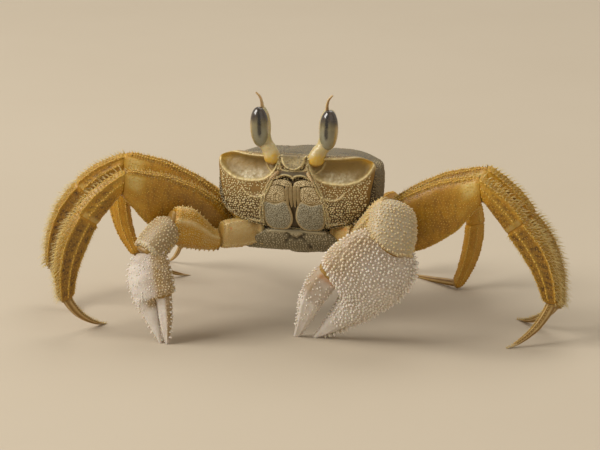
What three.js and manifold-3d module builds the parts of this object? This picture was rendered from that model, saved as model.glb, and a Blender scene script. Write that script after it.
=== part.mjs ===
// Ghost crab, life size, standing still with both claws lowered in front of it.
// Millimetres, +Z up. The crab faces -Y and its own left side is +X.
// Every shell plate and limb joint is a closed faceted solid, lofted from named sizes.

import * as THREE from 'three';
import { mergeVertices } from 'three/addons/utils/BufferGeometryUtils.js';
import Module from 'manifold-3d';

// ---------------------------------------------------------------- driving dimensions

const GAP = 0.3;                       // clearance left between neighbouring plates
const LIMB_SIDES = 10;                 // facets round a limb
const DEG = Math.PI / 180;
const VERTICAL = new THREE.Vector3(0, 0, 1);

const BODY = {
  centre: [0, -1.5, 31], pitch: -10,   // nose up, degrees about X
  widestZ: 3,                          // level of the widest line of the flanks
  upperPower: 4.5, facePower: 7,       // squareness of the roof, and of its front edge
  lowerPower: 2.6,                     // squareness of the belly side
  front: 18.2, faceCurve: 3.2,         // how far the face stands forward, and its sideways curve
  faceHalfWidth: 19.3,
  chinLevel: 4, chinRetreat: 5.0, chinDepth: 11, chinPower: 1.6,
};

// stations along the body from tail to face: y, half width, roof height, belly height
const CARAPACE_STATIONS = [
  [17.0, 9.6, 6.4, -3.6],
  [15.4, 11.6, 8.2, -5.6],
  [12.0, 14.4, 10.2, -6.8],
  [7.5, 17.3, 11.6, -7.2],
  [2.0, 19.3, 12.0, -7.2],
  [-4.0, 19.9, 11.7, -7.2],
  [-9.0, 19.8, 11.0, -7.2],
  [-12.6, 19.4, 10.5, -7.2],
];
const FACE_RINGS = [1, 0.86, 0.68, 0.48, 0.26];
const CARAPACE_SIDES = 28;

const ROSTRUM = { topY: -16.2, topZ: 10.6, tipY: -18.9, tipZ: 7.2, halfWidth: 2.7, thickness: 1.1 };
const ORBIT = { x: 12.6, y: -16.4, z: 6.7, halfWidth: 6.5, halfHeight: 2.9, depth: 2.6 };

// breastplate stations from throat to tail: y, half width, underside height
const STERNUM_TOP = -7.5;
const STERNUM_STATIONS = [
  [-12.7, 7.2, -8.1],
  [-10.6, 9.6, -11.0],
  [-8.2, 11.4, -12.8],
  [0.0, 12.0, -13.0],
  [7.0, 10.6, -12.6],
  [12.6, 7.6, -11.0],
];

// cross outline of the breastplate, in shares of its half width and its depth
const STERNUM_CORNERS = [
  [-0.55, 0], [0.55, 0], [1, 0.32], [0.86, 0.8], [0.5, 1], [-0.5, 1], [-0.86, 0.8], [-1, 0.32],
];

// folded tail flap, from its hinge behind the shell to its tip under the breast:
// y, z, half width
const ABDOMEN_PATH = [
  [17.2, -4.6, 7.6],
  [16.2, -8.2, 7.0],
  [13.4, -11.6, 6.4],
  [9.0, -13.2, 5.6],
  [3.0, -13.5, 4.6],
  [-2.5, -13.4, 3.4],
  [-6.6, -13.1, 1.4],
];
const ABDOMEN_THICKNESS = 1.2;

// outer mouth plates: height, outer edge
const MOUTH_PLATE = [
  [4.6, 4.9],
  [1.4, 6.6],
  [-2.6, 7.2],
  [-6.4, 7.1],
];
const MOUTH_DEPTH = 2.4;
const MOUTH_CROWN = 0.7;
const MOUTH_INSET = 0.5;
const RECESS_REACH = 8;                // how far the recess cutter stands proud, in gaps

const EYE = {
  cornea: [8.4, -17.0, 51.3], lean: [0.03, 0, 1], halfWidth: 2.15, halfDepth: 2.3, halfHeight: 4.85,
};
// stalk behind the cornea and style above it, as places on the left side with a radius
const STALK_PATH = [
  [5.0, -16.8, 41.9, 1.5], [5.8, -16.6, 44.4, 1.4], [7.0, -16.2, 47.2, 1.6], [7.6, -15.9, 50.4, 1.75],
  [7.7, -15.9, 53.6, 1.5], [7.8, -16.3, 55.8, 0.8],
];
const STYLE_PATH = [
  [7.85, -16.5, 56.2, 0.42], [7.9, -16.6, 57.4, 0.36], [8.4, -16.7, 58.7, 0.3], [9.3, -16.8, 59.7, 0.25],
];
const ANTENNA = { root: [3.7, -18.6, 6.4], tip: [5.4, -20.2, 4.4], radius: 0.42, tipRadius: 0.26 };

// Walking legs: hip, heading, the rise of each joint and the heading of the toe, in degrees.
// Joint lengths are shared by the left and right leg of a pair.
const LEG_LENGTHS = {
  1: { merus: 34, carpus: 11.5, propodus: 20.5, dactyl: 15 },
  2: { merus: 34.5, carpus: 12, propodus: 22.5, dactyl: 16 },
  3: { merus: 31.5, carpus: 11.5, propodus: 16.5, dactyl: 17.5 },
  4: { merus: 22, carpus: 8, propodus: 10.5, dactyl: 10 },
};
const LEG_HIPS = { 1: [14.2, -8.6, 21], 2: [15, -2.6, 21], 3: [14.6, 3.8, 20.5], 4: [11.8, 10, 19.6] };
const LEG_POSES = {
  left: {
    1: { heading: -5, rise: [27, -41, -64], toe: 206 },
    2: { heading: -3, rise: [30, -42, -67], toe: 136 },
    3: { heading: 46, rise: [14, -60, -109], toe: 146 },
    4: { heading: 78, rise: [4, -35, -100], toe: 75 },
  },
  right: {
    1: { heading: 208, rise: [27, -39, -74], toe: 56 },
    2: { heading: 184, rise: [24, -29, -65], toe: 319 },
    3: { heading: 164, rise: [13, -28, -108], toe: 38 },
    4: { heading: 146, rise: [0, -29, -52], toe: 138 },
  },
};
// Limb sections as [place along the joint, height, thickness] for a leg of full size.
const LEG_SECTIONS = {
  merus: [[0, 5.0, 4.2], [0.13, 6.0, 4.2], [0.3, 10.4, 4.6], [0.5, 12.6, 4.7], [0.7, 12.0, 4.6],
    [0.88, 8.6, 4.2], [1, 6.2, 3.8]],
  carpus: [[0, 5.6, 3.7], [0.45, 6.4, 4.3], [1, 5.9, 4.0]],
  propodus: [[0, 5.7, 3.7], [0.3, 6.5, 3.9], [0.65, 5.4, 3.5], [1, 3.6, 2.6]],
  dactyl: [[0, 2.9, 2.3], [0.3, 2.5, 1.9], [0.7, 1.6, 1.2], [1, 0.8, 0.8]],
};
const LEG_BOW = { merus: 0, carpus: 0.8, propodus: 1.9, dactyl: 0.8 };
const LEG_GIRTH = { 1: 1, 2: 1, 3: 0.86, 4: 0.66 };
// level root of a leg, seated in the breastplate
const COXA = { length: 3.4, height: 4.4, thickness: 3.2 };

// Claw arms: the joints from the body to the wrist, then the two claw tips on the floor side.
const CLAWS = {
  minor: {
    root: [-9.6, -11.2, 23.2], ischiumEnd: [-18.4, -17.2, 22.6], elbow: [-28.0, -23.4, 27.6],
    wrist: [-33.2, -28.3, 21.8], tips: [-28.9, -31.2, 0], across: [0.95, -0.21, 0.23],
    baseSize: [5.4, 4.6], merusSize: [9.0, 6.0], carpusSize: [8.6, 7.4],
    palmLength: 21.9, palmHeight: 12.6, palmThickness: 6.6, crotch: 0.53, reach: 0,
    fingerRoot: 0.46, fingerRise: 2.5, fingerHeight: 4.1,
  },
  major: {
    root: [9.6, -11.2, 24], ischiumEnd: [15.0, -16.2, 25.6], elbow: [23.6, -20.2, 34.6],
    wrist: [25.4, -25.6, 27.0], tips: [3.6, -19.2, 0], across: [-0.78, -0.23, 0.58],
    baseSize: [5.4, 5.0], merusSize: [8.0, 5.8], carpusSize: [11.8, 8.6],
    palmLength: 34.6, palmHeight: 20.6, palmThickness: 9.0, crotch: 0.59, reach: -1.6,
    fingerRoot: 0.45, fingerRise: 7.8, fingerHeight: 4.0,
  },
};
// swelling of the claw arm joints: place along the joint, shares of height and thickness
const BASE_SWELL = [[0, 0.9, 0.9], [0.5, 1, 1], [1, 1, 1]];
const ARM_SWELL = [[0, 0.6, 0.7], [0.3, 0.82, 0.9], [0.75, 1, 1], [1, 0.86, 0.88]];
const CARPUS_SWELL = [[-0.14, 0.42, 0.45], [0.04, 0.78, 0.8], [0.35, 0.97, 1], [0.7, 1, 1], [1, 0.84, 0.8]];
// edges of the hand in shares of its height, by place along the hand from wrist to fixed tip
const PALM_LOWER_EDGE = [[0, 0.2], [0.09, 0.38], [0.18, 0.46], [0.33, 0.5], [0.5, 0.44], [0.7, 0.31],
  [0.88, 0.19], [1, 0.1]];
const PALM_UPPER_EDGE = [[0, 0.36], [0.1, 0.48], [0.28, 0.51]];
const KNUCKLE_RISE = 0.46;             // upper edge where the movable finger is hinged
const CROTCH_RISE = 0.04;              // upper edge at the crotch
const FIXED_TIP_RISE = -0.06;
const PALM_THICKNESS = [[0, 0.62], [0.15, 0.86], [0.3, 1], [0.5, 0.82], [0.7, 0.5], [1, 0.14]];
// movable finger: place along it, then mid line, height and thickness in shares of their sizes
const FINGER_PATH = [[0, 1, 1, 0.5], [0.15, 0.95, 0.95, 0.45], [0.5, 0.74, 0.82, 0.34],
  [0.82, 0.5, 0.48, 0.22], [1, 0.3, 0.18, 0.11]];
const PALM_SIDES = 14;                 // facets round a hand
const LIMB_POWER = 2.4;                // squareness of limb sections
const PALM_POWER = 2.3;                // squareness of hand sections

const COLOURS = {
  shell: 0x9a917c, breast: 0x8f8a78, mouth: 0x8d856d, leg: 0xc99a3f, toe: 0xd8b878,
  claw: 0xe6ddcd, arm: 0xcdaa60, stalk: 0xd8c48c, cornea: 0x2c3338, style: 0xb99763,
};

// ---------------------------------------------------------------- solids library

const wasm = await Module();
wasm.setup();

/** A closed solid through a row of rings that all have the same number of points. */
function loft(rings) {
  const sides = rings[0].length;
  const points = rings.flat();
  const start = points.length;
  points.push(middle(rings[0]), middle(rings.at(-1)));
  const faces = [];
  for (let side = 0; side < sides; side += 1) {
    const next = (side + 1) % sides;
    for (let ring = 0; ring + 1 < rings.length; ring += 1) {
      const a = ring * sides + side;
      const b = ring * sides + next;
      faces.push([a, b, b + sides], [a, b + sides, a + sides]);
    }
    const last = (rings.length - 1) * sides;
    faces.push([start, next, side], [start + 1, last + side, last + next]);
  }
  return closedGeometry(points, faces);
}

/** The middle of a ring of points. */
function middle(ring) {
  const sum = new THREE.Vector3();
  ring.forEach((point) => sum.add(point));
  return sum.divideScalar(ring.length);
}

/** Geometry from points and triangles, turned so that its faces point outward. */
function closedGeometry(points, faces) {
  let volume = 0;
  const normal = new THREE.Vector3();
  for (const [a, b, c] of faces) {
    volume += points[a].dot(normal.crossVectors(points[b], points[c]));
  }
  const index = faces.flatMap(([a, b, c]) => (volume > 0 ? [a, b, c] : [a, c, b]));
  const geometry = new THREE.BufferGeometry().setFromPoints(points);
  geometry.setIndex(index);
  return geometry;
}

/** One ring: a rounded rectangle about a centre, in the plane of two unit vectors. */
function sectionRing(centre, up, side, height, thickness, power = LIMB_POWER, sides = LIMB_SIDES) {
  const ring = [];
  for (let step = 0; step < sides; step += 1) {
    const angle = ((step + 0.5) / sides) * 2 * Math.PI;
    ring.push(centre.clone()
      .addScaledVector(side, softPower(Math.cos(angle), 2 / power) * thickness / 2)
      .addScaledVector(up, softPower(Math.sin(angle), 2 / power) * height / 2));
  }
  return ring;
}

/** A power that keeps the sign of its base. */
function softPower(base, exponent) {
  return Math.sign(base) * Math.abs(base) ** exponent;
}

/** Value at a place in a table of [place, value] rows, by straight lines between rows. */
function along(table, place, column = 1) {
  const after = table.findIndex((row) => row[0] >= place);
  if (after <= 0) return table[after === 0 ? 0 : table.length - 1][column];
  const [low, high] = [table[after - 1], table[after]];
  return THREE.MathUtils.mapLinear(place, low[0], high[0], low[column], high[column]);
}

/** Slide every point of a ring along a direction until it lies in a plane. */
function slideToPlane(ring, direction, planePoint, planeNormal) {
  const speed = direction.dot(planeNormal);
  return ring.map((point) => {
    const distance = planePoint.clone().sub(point).dot(planeNormal) / speed;
    return point.clone().addScaledVector(direction, distance);
  });
}

/** A manifold solid from a closed geometry. */
function toSolid(geometry) {
  const bare = geometry.clone();
  bare.deleteAttribute('normal');
  bare.deleteAttribute('uv');
  const merged = mergeVertices(bare, 1e-4);
  return new wasm.Manifold(new wasm.Mesh({
    numProp: 3,
    vertProperties: new Float32Array(merged.attributes.position.array),
    triVerts: new Uint32Array(merged.index.array),
  }));
}

/** Geometry of a manifold solid. */
function toGeometry(solid) {
  const mesh = solid.getMesh();
  const geometry = new THREE.BufferGeometry();
  geometry.setAttribute('position', new THREE.BufferAttribute(new Float32Array(mesh.vertProperties), 3));
  geometry.setIndex(new THREE.BufferAttribute(new Uint32Array(mesh.triVerts), 1));
  return geometry;
}

/** A geometry with a list of other geometries cut out of it. */
function carve(geometry, cutters) {
  const solid = cutters.reduce((rest, cutter) => rest.subtract(toSolid(cutter)), toSolid(geometry));
  return toGeometry(solid);
}

/** A geometry joined with others that it touches. */
function weld(geometry, additions) {
  return toGeometry(additions.reduce((sum, addition) => sum.add(toSolid(addition)), toSolid(geometry)));
}

// ---------------------------------------------------------------- body

/** World place of a point given in the body's own frame, which is tilted nose up. */
function bodyPoint(x, y, z) {
  const turned = new THREE.Vector3(x, y, z).applyAxisAngle(new THREE.Vector3(1, 0, 0), BODY.pitch * DEG);
  return turned.add(new THREE.Vector3(...BODY.centre));
}

/** How far forward the face lies at a place across and up the body. */
function faceY(x, z) {
  const across = BODY.faceCurve * (x / BODY.faceHalfWidth) ** 2;
  const below = Math.max(0, BODY.chinLevel - z) / BODY.chinDepth;
  return -BODY.front + across + BODY.chinRetreat * below ** BODY.chinPower;
}

/** Cross outline of the carapace as [x, z] pairs. */
function carapaceOutline(halfWidth, roof, belly, upperPower = BODY.upperPower, scale = 1) {
  const outline = [];
  for (let step = 0; step < CARAPACE_SIDES; step += 1) {
    const angle = ((step + 0.5) / CARAPACE_SIDES) * 2 * Math.PI;
    const above = Math.sin(angle) > 0;
    const power = above ? upperPower : BODY.lowerPower;
    const height = above ? roof - BODY.widestZ : BODY.widestZ - belly;
    outline.push([
      scale * softPower(Math.cos(angle), 2 / power) * halfWidth,
      BODY.widestZ + scale * softPower(Math.sin(angle), 2 / power) * height,
    ]);
  }
  return outline;
}

/** The shell as one loft from its tail edge to the middle of the face. */
function carapaceShell() {
  const rings = CARAPACE_STATIONS.map(([y, halfWidth, roof, belly]) => (
    carapaceOutline(halfWidth, roof, belly).map(([x, z]) => bodyPoint(x, y, z))
  ));
  const [, , frontRoof, frontBelly] = CARAPACE_STATIONS.at(-1);
  for (const scale of FACE_RINGS) {
    const outline = carapaceOutline(BODY.faceHalfWidth, frontRoof - 0.2, frontBelly, BODY.facePower, scale);
    rings.push(outline.map(([x, z]) => bodyPoint(x, faceY(x, z), z)));
  }
  return loft(rings);
}

/** The narrow plate between the eyes that hangs from the front edge of the shell. */
function rostrumPlate() {
  const { topY, topZ, tipY, tipZ, halfWidth, thickness } = ROSTRUM;
  const rings = [0, 0.5, 0.85, 1].map((place) => {
    const width = halfWidth * Math.sqrt(1 - 0.8 * place ** 4);
    const [y, z] = [THREE.MathUtils.lerp(topY, tipY, place), THREE.MathUtils.lerp(topZ, tipZ, place)];
    const centre = bodyPoint(0, y, z);
    return sectionRing(centre, bodyDirection(0, 1, 0.25), bodyDirection(1, 0, 0), thickness, 2 * width);
  });
  return loft(rings);
}

/** World direction of a direction given in the body's own frame. */
function bodyDirection(x, y, z) {
  return new THREE.Vector3(x, y, z).normalize()
    .applyAxisAngle(new THREE.Vector3(1, 0, 0), BODY.pitch * DEG);
}

/** The hollow that an eye folds down into. */
function orbitHollow(hand) {
  const geometry = new THREE.SphereGeometry(1, 16, 10);
  geometry.scale(ORBIT.halfWidth, ORBIT.depth, ORBIT.halfHeight);
  geometry.rotateX(BODY.pitch * DEG);
  const centre = bodyPoint(hand * ORBIT.x, ORBIT.y, ORBIT.z);
  return geometry.translate(centre.x, centre.y, centre.z);
}

/** One outer mouth plate; extra widens it to make the recess that it closes. */
function mouthPlate(hand, extra = 0) {
  const rows = MOUTH_PLATE.map(([z, outer], row) => {
    const height = row === 0 ? z + extra : z;
    return [row === MOUTH_PLATE.length - 1 ? height - extra : height, outer];
  });
  const rings = rows.map(([z, outer]) => {
    const edge = outer + extra;
    const inner = GAP / 2 - extra;
    const half = (inner + edge) / 2;
    const back = faceY(edge, z) + MOUTH_DEPTH + extra;
    const front = (x) => faceY(x, z) + MOUTH_INSET - extra * RECESS_REACH;
    const crown = MOUTH_CROWN;
    return [
      bodyPoint(hand * inner, back, z), bodyPoint(hand * edge, back, z),
      bodyPoint(hand * edge, front(edge), z), bodyPoint(hand * half, front(half) - crown, z),
      bodyPoint(hand * inner, front(inner), z),
    ];
  });
  return loft(rings);
}

/** The breastplate under the body. */
function sternumPlate() {
  const rings = STERNUM_STATIONS.map(([y, halfWidth, underside]) => {
    return STERNUM_CORNERS.map(([across, down]) => (
      bodyPoint(across * halfWidth, y, THREE.MathUtils.lerp(STERNUM_TOP, underside, down))
    ));
  });
  return loft(rings);
}

/** The folded tail flap; extra thickens it to cut its bed in the plates above. */
function abdomenFlap(extra = 0) {
  const rings = ABDOMEN_PATH.map(([y, z, halfWidth], row) => {
    const before = ABDOMEN_PATH[Math.max(row - 1, 0)];
    const after = ABDOMEN_PATH[Math.min(row + 1, ABDOMEN_PATH.length - 1)];
    const direction = bodyDirection(0, after[0] - before[0], after[1] - before[1]);
    const side = bodyDirection(1, 0, 0);
    const up = new THREE.Vector3().crossVectors(direction, side);
    const thickness = ABDOMEN_THICKNESS + 2 * extra;
    return sectionRing(bodyPoint(0, y, z), up, side, thickness, 2 * (halfWidth + extra), 5, 12);
  });
  return loft(rings);
}

// ---------------------------------------------------------------- eyes and feelers

/** The glassy cornea, an upright egg; extra makes its seat in the stalk. */
function corneaEgg(hand, extra = 0) {
  const geometry = new THREE.SphereGeometry(1, 14, 10);
  geometry.rotateX(Math.PI / 2);
  geometry.scale(EYE.halfWidth + extra, EYE.halfDepth + extra, EYE.halfHeight + extra);
  const lean = mirrored(EYE.lean, hand).normalize();
  geometry.applyQuaternion(new THREE.Quaternion().setFromUnitVectors(new THREE.Vector3(0, 0, 1), lean));
  const centre = mirrored(EYE.cornea, hand);
  return geometry.translate(centre.x, centre.y, centre.z);
}

/** A place measured on the left side, carried to the wanted side. */
function mirrored([x, y, z], hand) {
  return new THREE.Vector3(hand * x, y, z);
}

/** A round rod through places that each carry a radius; extra makes it fatter. */
function roundRod(path, hand, sides, extra = 0) {
  const centres = path.map((place) => mirrored(place, hand));
  return loft(path.map(([, , , radius], row) => {
    const before = centres[Math.max(row - 1, 0)];
    const after = centres[Math.min(row + 1, centres.length - 1)];
    const axis = after.clone().sub(before).normalize();
    const side = new THREE.Vector3(0, 1, 0).cross(axis).normalize();
    const up = new THREE.Vector3().crossVectors(axis, side);
    return sectionRing(centres[row], up, side, 2 * (radius + extra), 2 * (radius + extra), 2, sides);
  }));
}

/** A short feeler beside the rostrum. */
function antenna(hand) {
  const places = [ANTENNA.root, ANTENNA.tip].map((place) => bodyPoint(...place).toArray());
  return roundRod([[...places[0], ANTENNA.radius], [...places[1], ANTENNA.tipRadius]], hand, 6);
}

// ---------------------------------------------------------------- limbs

/** One limb joint as a loft whose two ends are cut on the planes of its joints. */
function limbSegment({ from, to, up, startPlane, endPlane, sections, root, girth = 1, bow = 0, extra = 0 }) {
  const axis = to.clone().sub(from).normalize();
  const rise = up.clone().addScaledVector(axis, -up.dot(axis)).normalize();
  const side = new THREE.Vector3().crossVectors(axis, rise);
  const rings = sections.map(([place, height, thickness]) => {
    const centre = from.clone().lerp(to, place).addScaledVector(rise, bow * 4 * place * (1 - place));
    return sectionRing(centre, rise, side, height * girth + 2 * extra, thickness * girth + 2 * extra);
  });
  if (root) {
    const [height, thickness] = [COXA.height, COXA.thickness].map((size) => size * girth + 2 * extra);
    rings.unshift(sectionRing(root.centre, VERTICAL, root.side, height, thickness));
  }
  if (startPlane) rings[0] = slideToPlane(rings[0], axis, startPlane.point, startPlane.normal);
  if (endPlane) rings[rings.length - 1] = slideToPlane(rings.at(-1), axis, endPlane.point, endPlane.normal);
  return loft(rings);
}

/** Level start of a leg inside the breastplate, behind its hip. */
function coxaRoot(hip, heading) {
  const outward = new THREE.Vector3(Math.cos(heading * DEG), Math.sin(heading * DEG), 0);
  const side = new THREE.Vector3(Math.sin(heading * DEG), -Math.cos(heading * DEG), 0);
  return { centre: hip.clone().addScaledVector(outward, -COXA.length), side };
}

/** The plane that halves the bend between two limb joints, moved back or on by half a gap. */
function mitre(joint, before, after, shift) {
  const normal = before.clone().add(after).normalize();
  return { point: joint.clone().addScaledVector(normal, shift), normal };
}

/** Joints of a walking leg from hip to toe; the last joint is turned until the toe is on the floor. */
function legJoints(hip, { heading, rise, toe }, lengths) {
  const joints = [hip];
  const outward = new THREE.Vector3(Math.cos(heading * DEG), Math.sin(heading * DEG), 0);
  [lengths.merus, lengths.carpus, lengths.propodus].forEach((length, index) => {
    const angle = rise[index] * DEG;
    joints.push(joints.at(-1).clone()
      .addScaledVector(outward, length * Math.cos(angle))
      .add(new THREE.Vector3(0, 0, length * Math.sin(angle))));
  });
  const ankle = joints.at(-1);
  const run = Math.sqrt(lengths.dactyl ** 2 - ankle.z ** 2);
  joints.push(new THREE.Vector3(
    ankle.x + run * Math.cos(toe * DEG), ankle.y + run * Math.sin(toe * DEG), 0));
  return joints;
}

/** The four solids of a walking leg, by name, with the cutter for its socket. */
function walkingLeg(hip, pose, lengths, girth) {
  const joints = legJoints(hip, pose, lengths);
  const directions = joints.slice(1).map((joint, index) => joint.clone().sub(joints[index]).normalize());
  const solids = {};
  let socket;
  Object.keys(LEG_SECTIONS).forEach((name, index) => {
    const last = index === directions.length - 1;
    const segment = {
      from: joints[index],
      to: joints[index + 1],
      up: outwardNormal(directions[index], pose.heading, last),
      startPlane: index > 0 && mitre(joints[index], directions[index - 1], directions[index], GAP / 2),
      endPlane: last ? { point: joints.at(-1), normal: VERTICAL }
        : mitre(joints[index + 1], directions[index], directions[index + 1], -GAP / 2),
      sections: LEG_SECTIONS[name],
      girth,
      bow: LEG_BOW[name] * girth,
      root: index === 0 && coxaRoot(hip, pose.heading),
    };
    solids[name] = limbSegment(segment);
    if (index === 0) socket = limbSegment({ ...segment, extra: GAP });
  });
  return { solids, socket };
}

/** Unit vector across a leg joint, pointing up and away from the body. */
function outwardNormal(direction, heading, isToe) {
  if (isToe) return VERTICAL.clone().addScaledVector(direction, -VERTICAL.dot(direction)).normalize();
  const side = new THREE.Vector3(-Math.sin(heading * DEG), Math.cos(heading * DEG), 0);
  return new THREE.Vector3().crossVectors(side, direction).multiplyScalar(-1);
}

/** Sections of a joint from shares of its height and thickness. */
function swell(shares, [height, thickness]) {
  return shares.map(([place, tall, thick]) => [place, tall * height, thick * thickness]);
}

/** Upper edge of a hand in shares of its height. */
function palmUpperEdge(place, { crotch, fingerRoot }) {
  const table = [...PALM_UPPER_EDGE, [fingerRoot, KNUCKLE_RISE], [crotch, CROTCH_RISE], [1, FIXED_TIP_RISE]];
  return along(table, place);
}

/** The three arm solids and the two claw solids of a claw arm, with the cutters for the body. */
function clawArm(claw) {
  const [root, ischiumEnd, elbow, wrist, tips] = ['root', 'ischiumEnd', 'elbow', 'wrist', 'tips']
    .map((name) => new THREE.Vector3(...claw[name]));
  const axis = tips.clone().sub(wrist).normalize();
  const across = new THREE.Vector3(...claw.across);
  across.addScaledVector(axis, -across.dot(axis)).normalize();
  const outer = new THREE.Vector3().crossVectors(across, axis);
  const armAxes = [ischiumEnd.clone().sub(root), elbow.clone().sub(ischiumEnd), wrist.clone().sub(elbow)]
    .map((axisVector) => axisVector.normalize());

  const baseSegment = {
    from: root, to: ischiumEnd, up: VERTICAL,
    endPlane: mitre(ischiumEnd, armAxes[0], armAxes[1], -GAP / 2),
    sections: swell(BASE_SWELL, claw.baseSize),
  };
  const merusSegment = {
    from: ischiumEnd, to: elbow, up: VERTICAL,
    startPlane: mitre(ischiumEnd, armAxes[0], armAxes[1], GAP / 2),
    sections: swell(ARM_SWELL, claw.merusSize),
  };
  const carpusSegment = {
    from: elbow, to: wrist, up: across,
    sections: swell(CARPUS_SWELL, claw.carpusSize),
  };
  const carpus = limbSegment(carpusSegment);
  const carpusSeat = limbSegment({ ...carpusSegment, extra: GAP });
  const merus = carve(limbSegment(merusSegment), [carpusSeat]);

  const hand = { claw, wrist, axis, across, outer };
  const finger = movableFinger(hand);
  const palm = carve(palmLoft(hand), [carpusSeat, movableFinger(hand, GAP)]);
  return {
    solids: { base: limbSegment(baseSegment), merus, carpus, palm, finger },
    sockets: [baseSegment, merusSegment].map((segment) => limbSegment({ ...segment, extra: GAP })),
  };
}

/** The hand with its fixed finger, which ends on a small flat on the floor. */
function palmLoft({ claw, wrist, axis, across, outer }) {
  const { fingerRoot, crotch } = claw;
  const places = [0, 0.05, 0.11, 0.2, 0.32, fingerRoot, (fingerRoot + crotch) / 2, crotch,
    crotch + 0.07, (1 + crotch) / 2, 0.93, 1];
  const rings = places.map((place) => {
    const upper = palmUpperEdge(place, claw) * claw.palmHeight;
    const lower = -along(PALM_LOWER_EDGE, place) * claw.palmHeight;
    const centre = wrist.clone()
      .addScaledVector(axis, claw.reach + place * (claw.palmLength - claw.reach))
      .addScaledVector(across, (upper + lower) / 2);
    const thickness = along(PALM_THICKNESS, place) * claw.palmThickness;
    return sectionRing(centre, across, outer, upper - lower, thickness, PALM_POWER, PALM_SIDES);
  });
  return loft(endOnFloor(rings, axis));
}

/** The movable finger, hinged at the upper corner of the hand; extra makes its seat. */
function movableFinger({ claw, wrist, axis, across, outer }, extra = 0) {
  const start = claw.fingerRoot * claw.palmLength;
  const rings = FINGER_PATH.map(([place, middleLine, height, thickness]) => {
    const centre = wrist.clone()
      .addScaledVector(axis, THREE.MathUtils.lerp(start - (place === 0 ? extra : 0), claw.palmLength, place))
      .addScaledVector(across, middleLine * claw.fingerRise);
    return sectionRing(centre, across, outer, height * claw.fingerHeight + 2 * extra,
      thickness * claw.palmThickness + 2 * extra);
  });
  return loft(endOnFloor(rings, axis));
}

/** Rings whose last one is slid along a direction onto the floor. */
function endOnFloor(rings, axis) {
  return [...rings.slice(0, -1), slideToPlane(rings.at(-1), axis, new THREE.Vector3(), VERTICAL)];
}

// ---------------------------------------------------------------- assembly

const crab = new THREE.Group();
const finish = (colour, roughness = 0.6) => (
  new THREE.MeshStandardMaterial({ color: colour, roughness, metalness: 0 })
);

/** Add one named solid with its own material to the crab. */
function addPiece(name, geometry, colour, roughness) {
  const mesh = new THREE.Mesh(geometry, finish(colour, roughness));
  mesh.name = name;
  crab.add(mesh);
}

const bothSides = [['left', 1], ['right', -1]];
const sockets = [];
for (const [side, hand] of bothSides) {
  for (const number of [1, 2, 3, 4]) {
    const hip = mirrored(LEG_HIPS[number], hand);
    const leg = walkingLeg(hip, LEG_POSES[side][number], LEG_LENGTHS[number], LEG_GIRTH[number]);
    for (const [part, geometry] of Object.entries(leg.solids)) {
      addPiece(`leg_${side}_${number}_${part}`, geometry, part === 'dactyl' ? COLOURS.toe : COLOURS.leg);
    }
    sockets.push(leg.socket);
  }
}
for (const [kind, claw] of Object.entries(CLAWS)) {
  const arm = clawArm(claw);
  for (const [part, geometry] of Object.entries(arm.solids)) {
    const pale = ['carpus', 'palm', 'finger'].includes(part);
    addPiece(`claw_${kind}_${part}`, geometry, pale ? COLOURS.claw : COLOURS.arm);
  }
  sockets.push(...arm.sockets);
}

const shellCutters = [
  ...sockets,
  ...bothSides.flatMap(([, hand]) => [
    orbitHollow(hand), mouthPlate(hand, GAP), roundRod(STALK_PATH, hand, 10, GAP),
  ]),
];
addPiece('carapace', carve(weld(carapaceShell(), [rostrumPlate()]), shellCutters), COLOURS.shell, 0.7);
addPiece('sternum', carve(sternumPlate(), [...sockets, abdomenFlap(GAP),
  ...bothSides.map(([, hand]) => mouthPlate(hand, GAP))]), COLOURS.breast);
addPiece('abdomen', abdomenFlap(), COLOURS.breast);
for (const [side, hand] of bothSides) {
  addPiece(`maxilliped_${side}`, mouthPlate(hand), COLOURS.mouth);
  addPiece(`eyestalk_${side}`, carve(roundRod(STALK_PATH, hand, 10), [corneaEgg(hand, GAP)]), COLOURS.stalk);
  addPiece(`eye_${side}`, corneaEgg(hand), COLOURS.cornea, 0.12);
  addPiece(`style_${side}`, roundRod(STYLE_PATH, hand, 8), COLOURS.style);
  addPiece(`antenna_${side}`, antenna(hand), COLOURS.stalk);
}

// The origin lies on the floor under the middle of the crab.
const bounds = new THREE.Box3().setFromObject(crab, true);
const middleOfBounds = bounds.getCenter(new THREE.Vector3());
crab.position.set(-middleOfBounds.x, -middleOfBounds.y, -bounds.min.z);

export default crab;
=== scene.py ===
"""A life-size ghost crab, standing still on its toes with both claws lowered in front of it.

Every shell plate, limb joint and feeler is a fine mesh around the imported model. Sizes are in millimetres in
the crab's own frame: it faces -Y, its own left side is +X, and +Z is up. A bench carries each mesh over to
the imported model's place, in metres.
"""

import logging
import math
from dataclasses import dataclass, field, fields, replace
from enum import Enum

import bpy
import numpy as np
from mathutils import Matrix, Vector


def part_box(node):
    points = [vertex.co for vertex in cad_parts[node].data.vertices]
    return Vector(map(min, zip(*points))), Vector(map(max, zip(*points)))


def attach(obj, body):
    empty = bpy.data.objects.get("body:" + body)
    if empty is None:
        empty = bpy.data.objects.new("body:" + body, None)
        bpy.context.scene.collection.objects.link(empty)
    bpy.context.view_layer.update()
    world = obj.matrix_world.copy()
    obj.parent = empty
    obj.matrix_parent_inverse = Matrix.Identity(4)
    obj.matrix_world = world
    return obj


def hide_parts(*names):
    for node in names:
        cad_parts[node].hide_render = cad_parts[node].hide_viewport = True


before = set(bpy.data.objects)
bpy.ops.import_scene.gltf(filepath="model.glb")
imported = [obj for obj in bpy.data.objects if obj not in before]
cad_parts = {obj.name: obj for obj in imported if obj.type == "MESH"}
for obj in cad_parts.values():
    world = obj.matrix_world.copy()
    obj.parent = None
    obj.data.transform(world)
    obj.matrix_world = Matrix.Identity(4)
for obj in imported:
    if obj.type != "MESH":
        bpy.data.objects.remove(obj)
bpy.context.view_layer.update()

Array = np.ndarray
Place = tuple[float, float, float]
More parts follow.
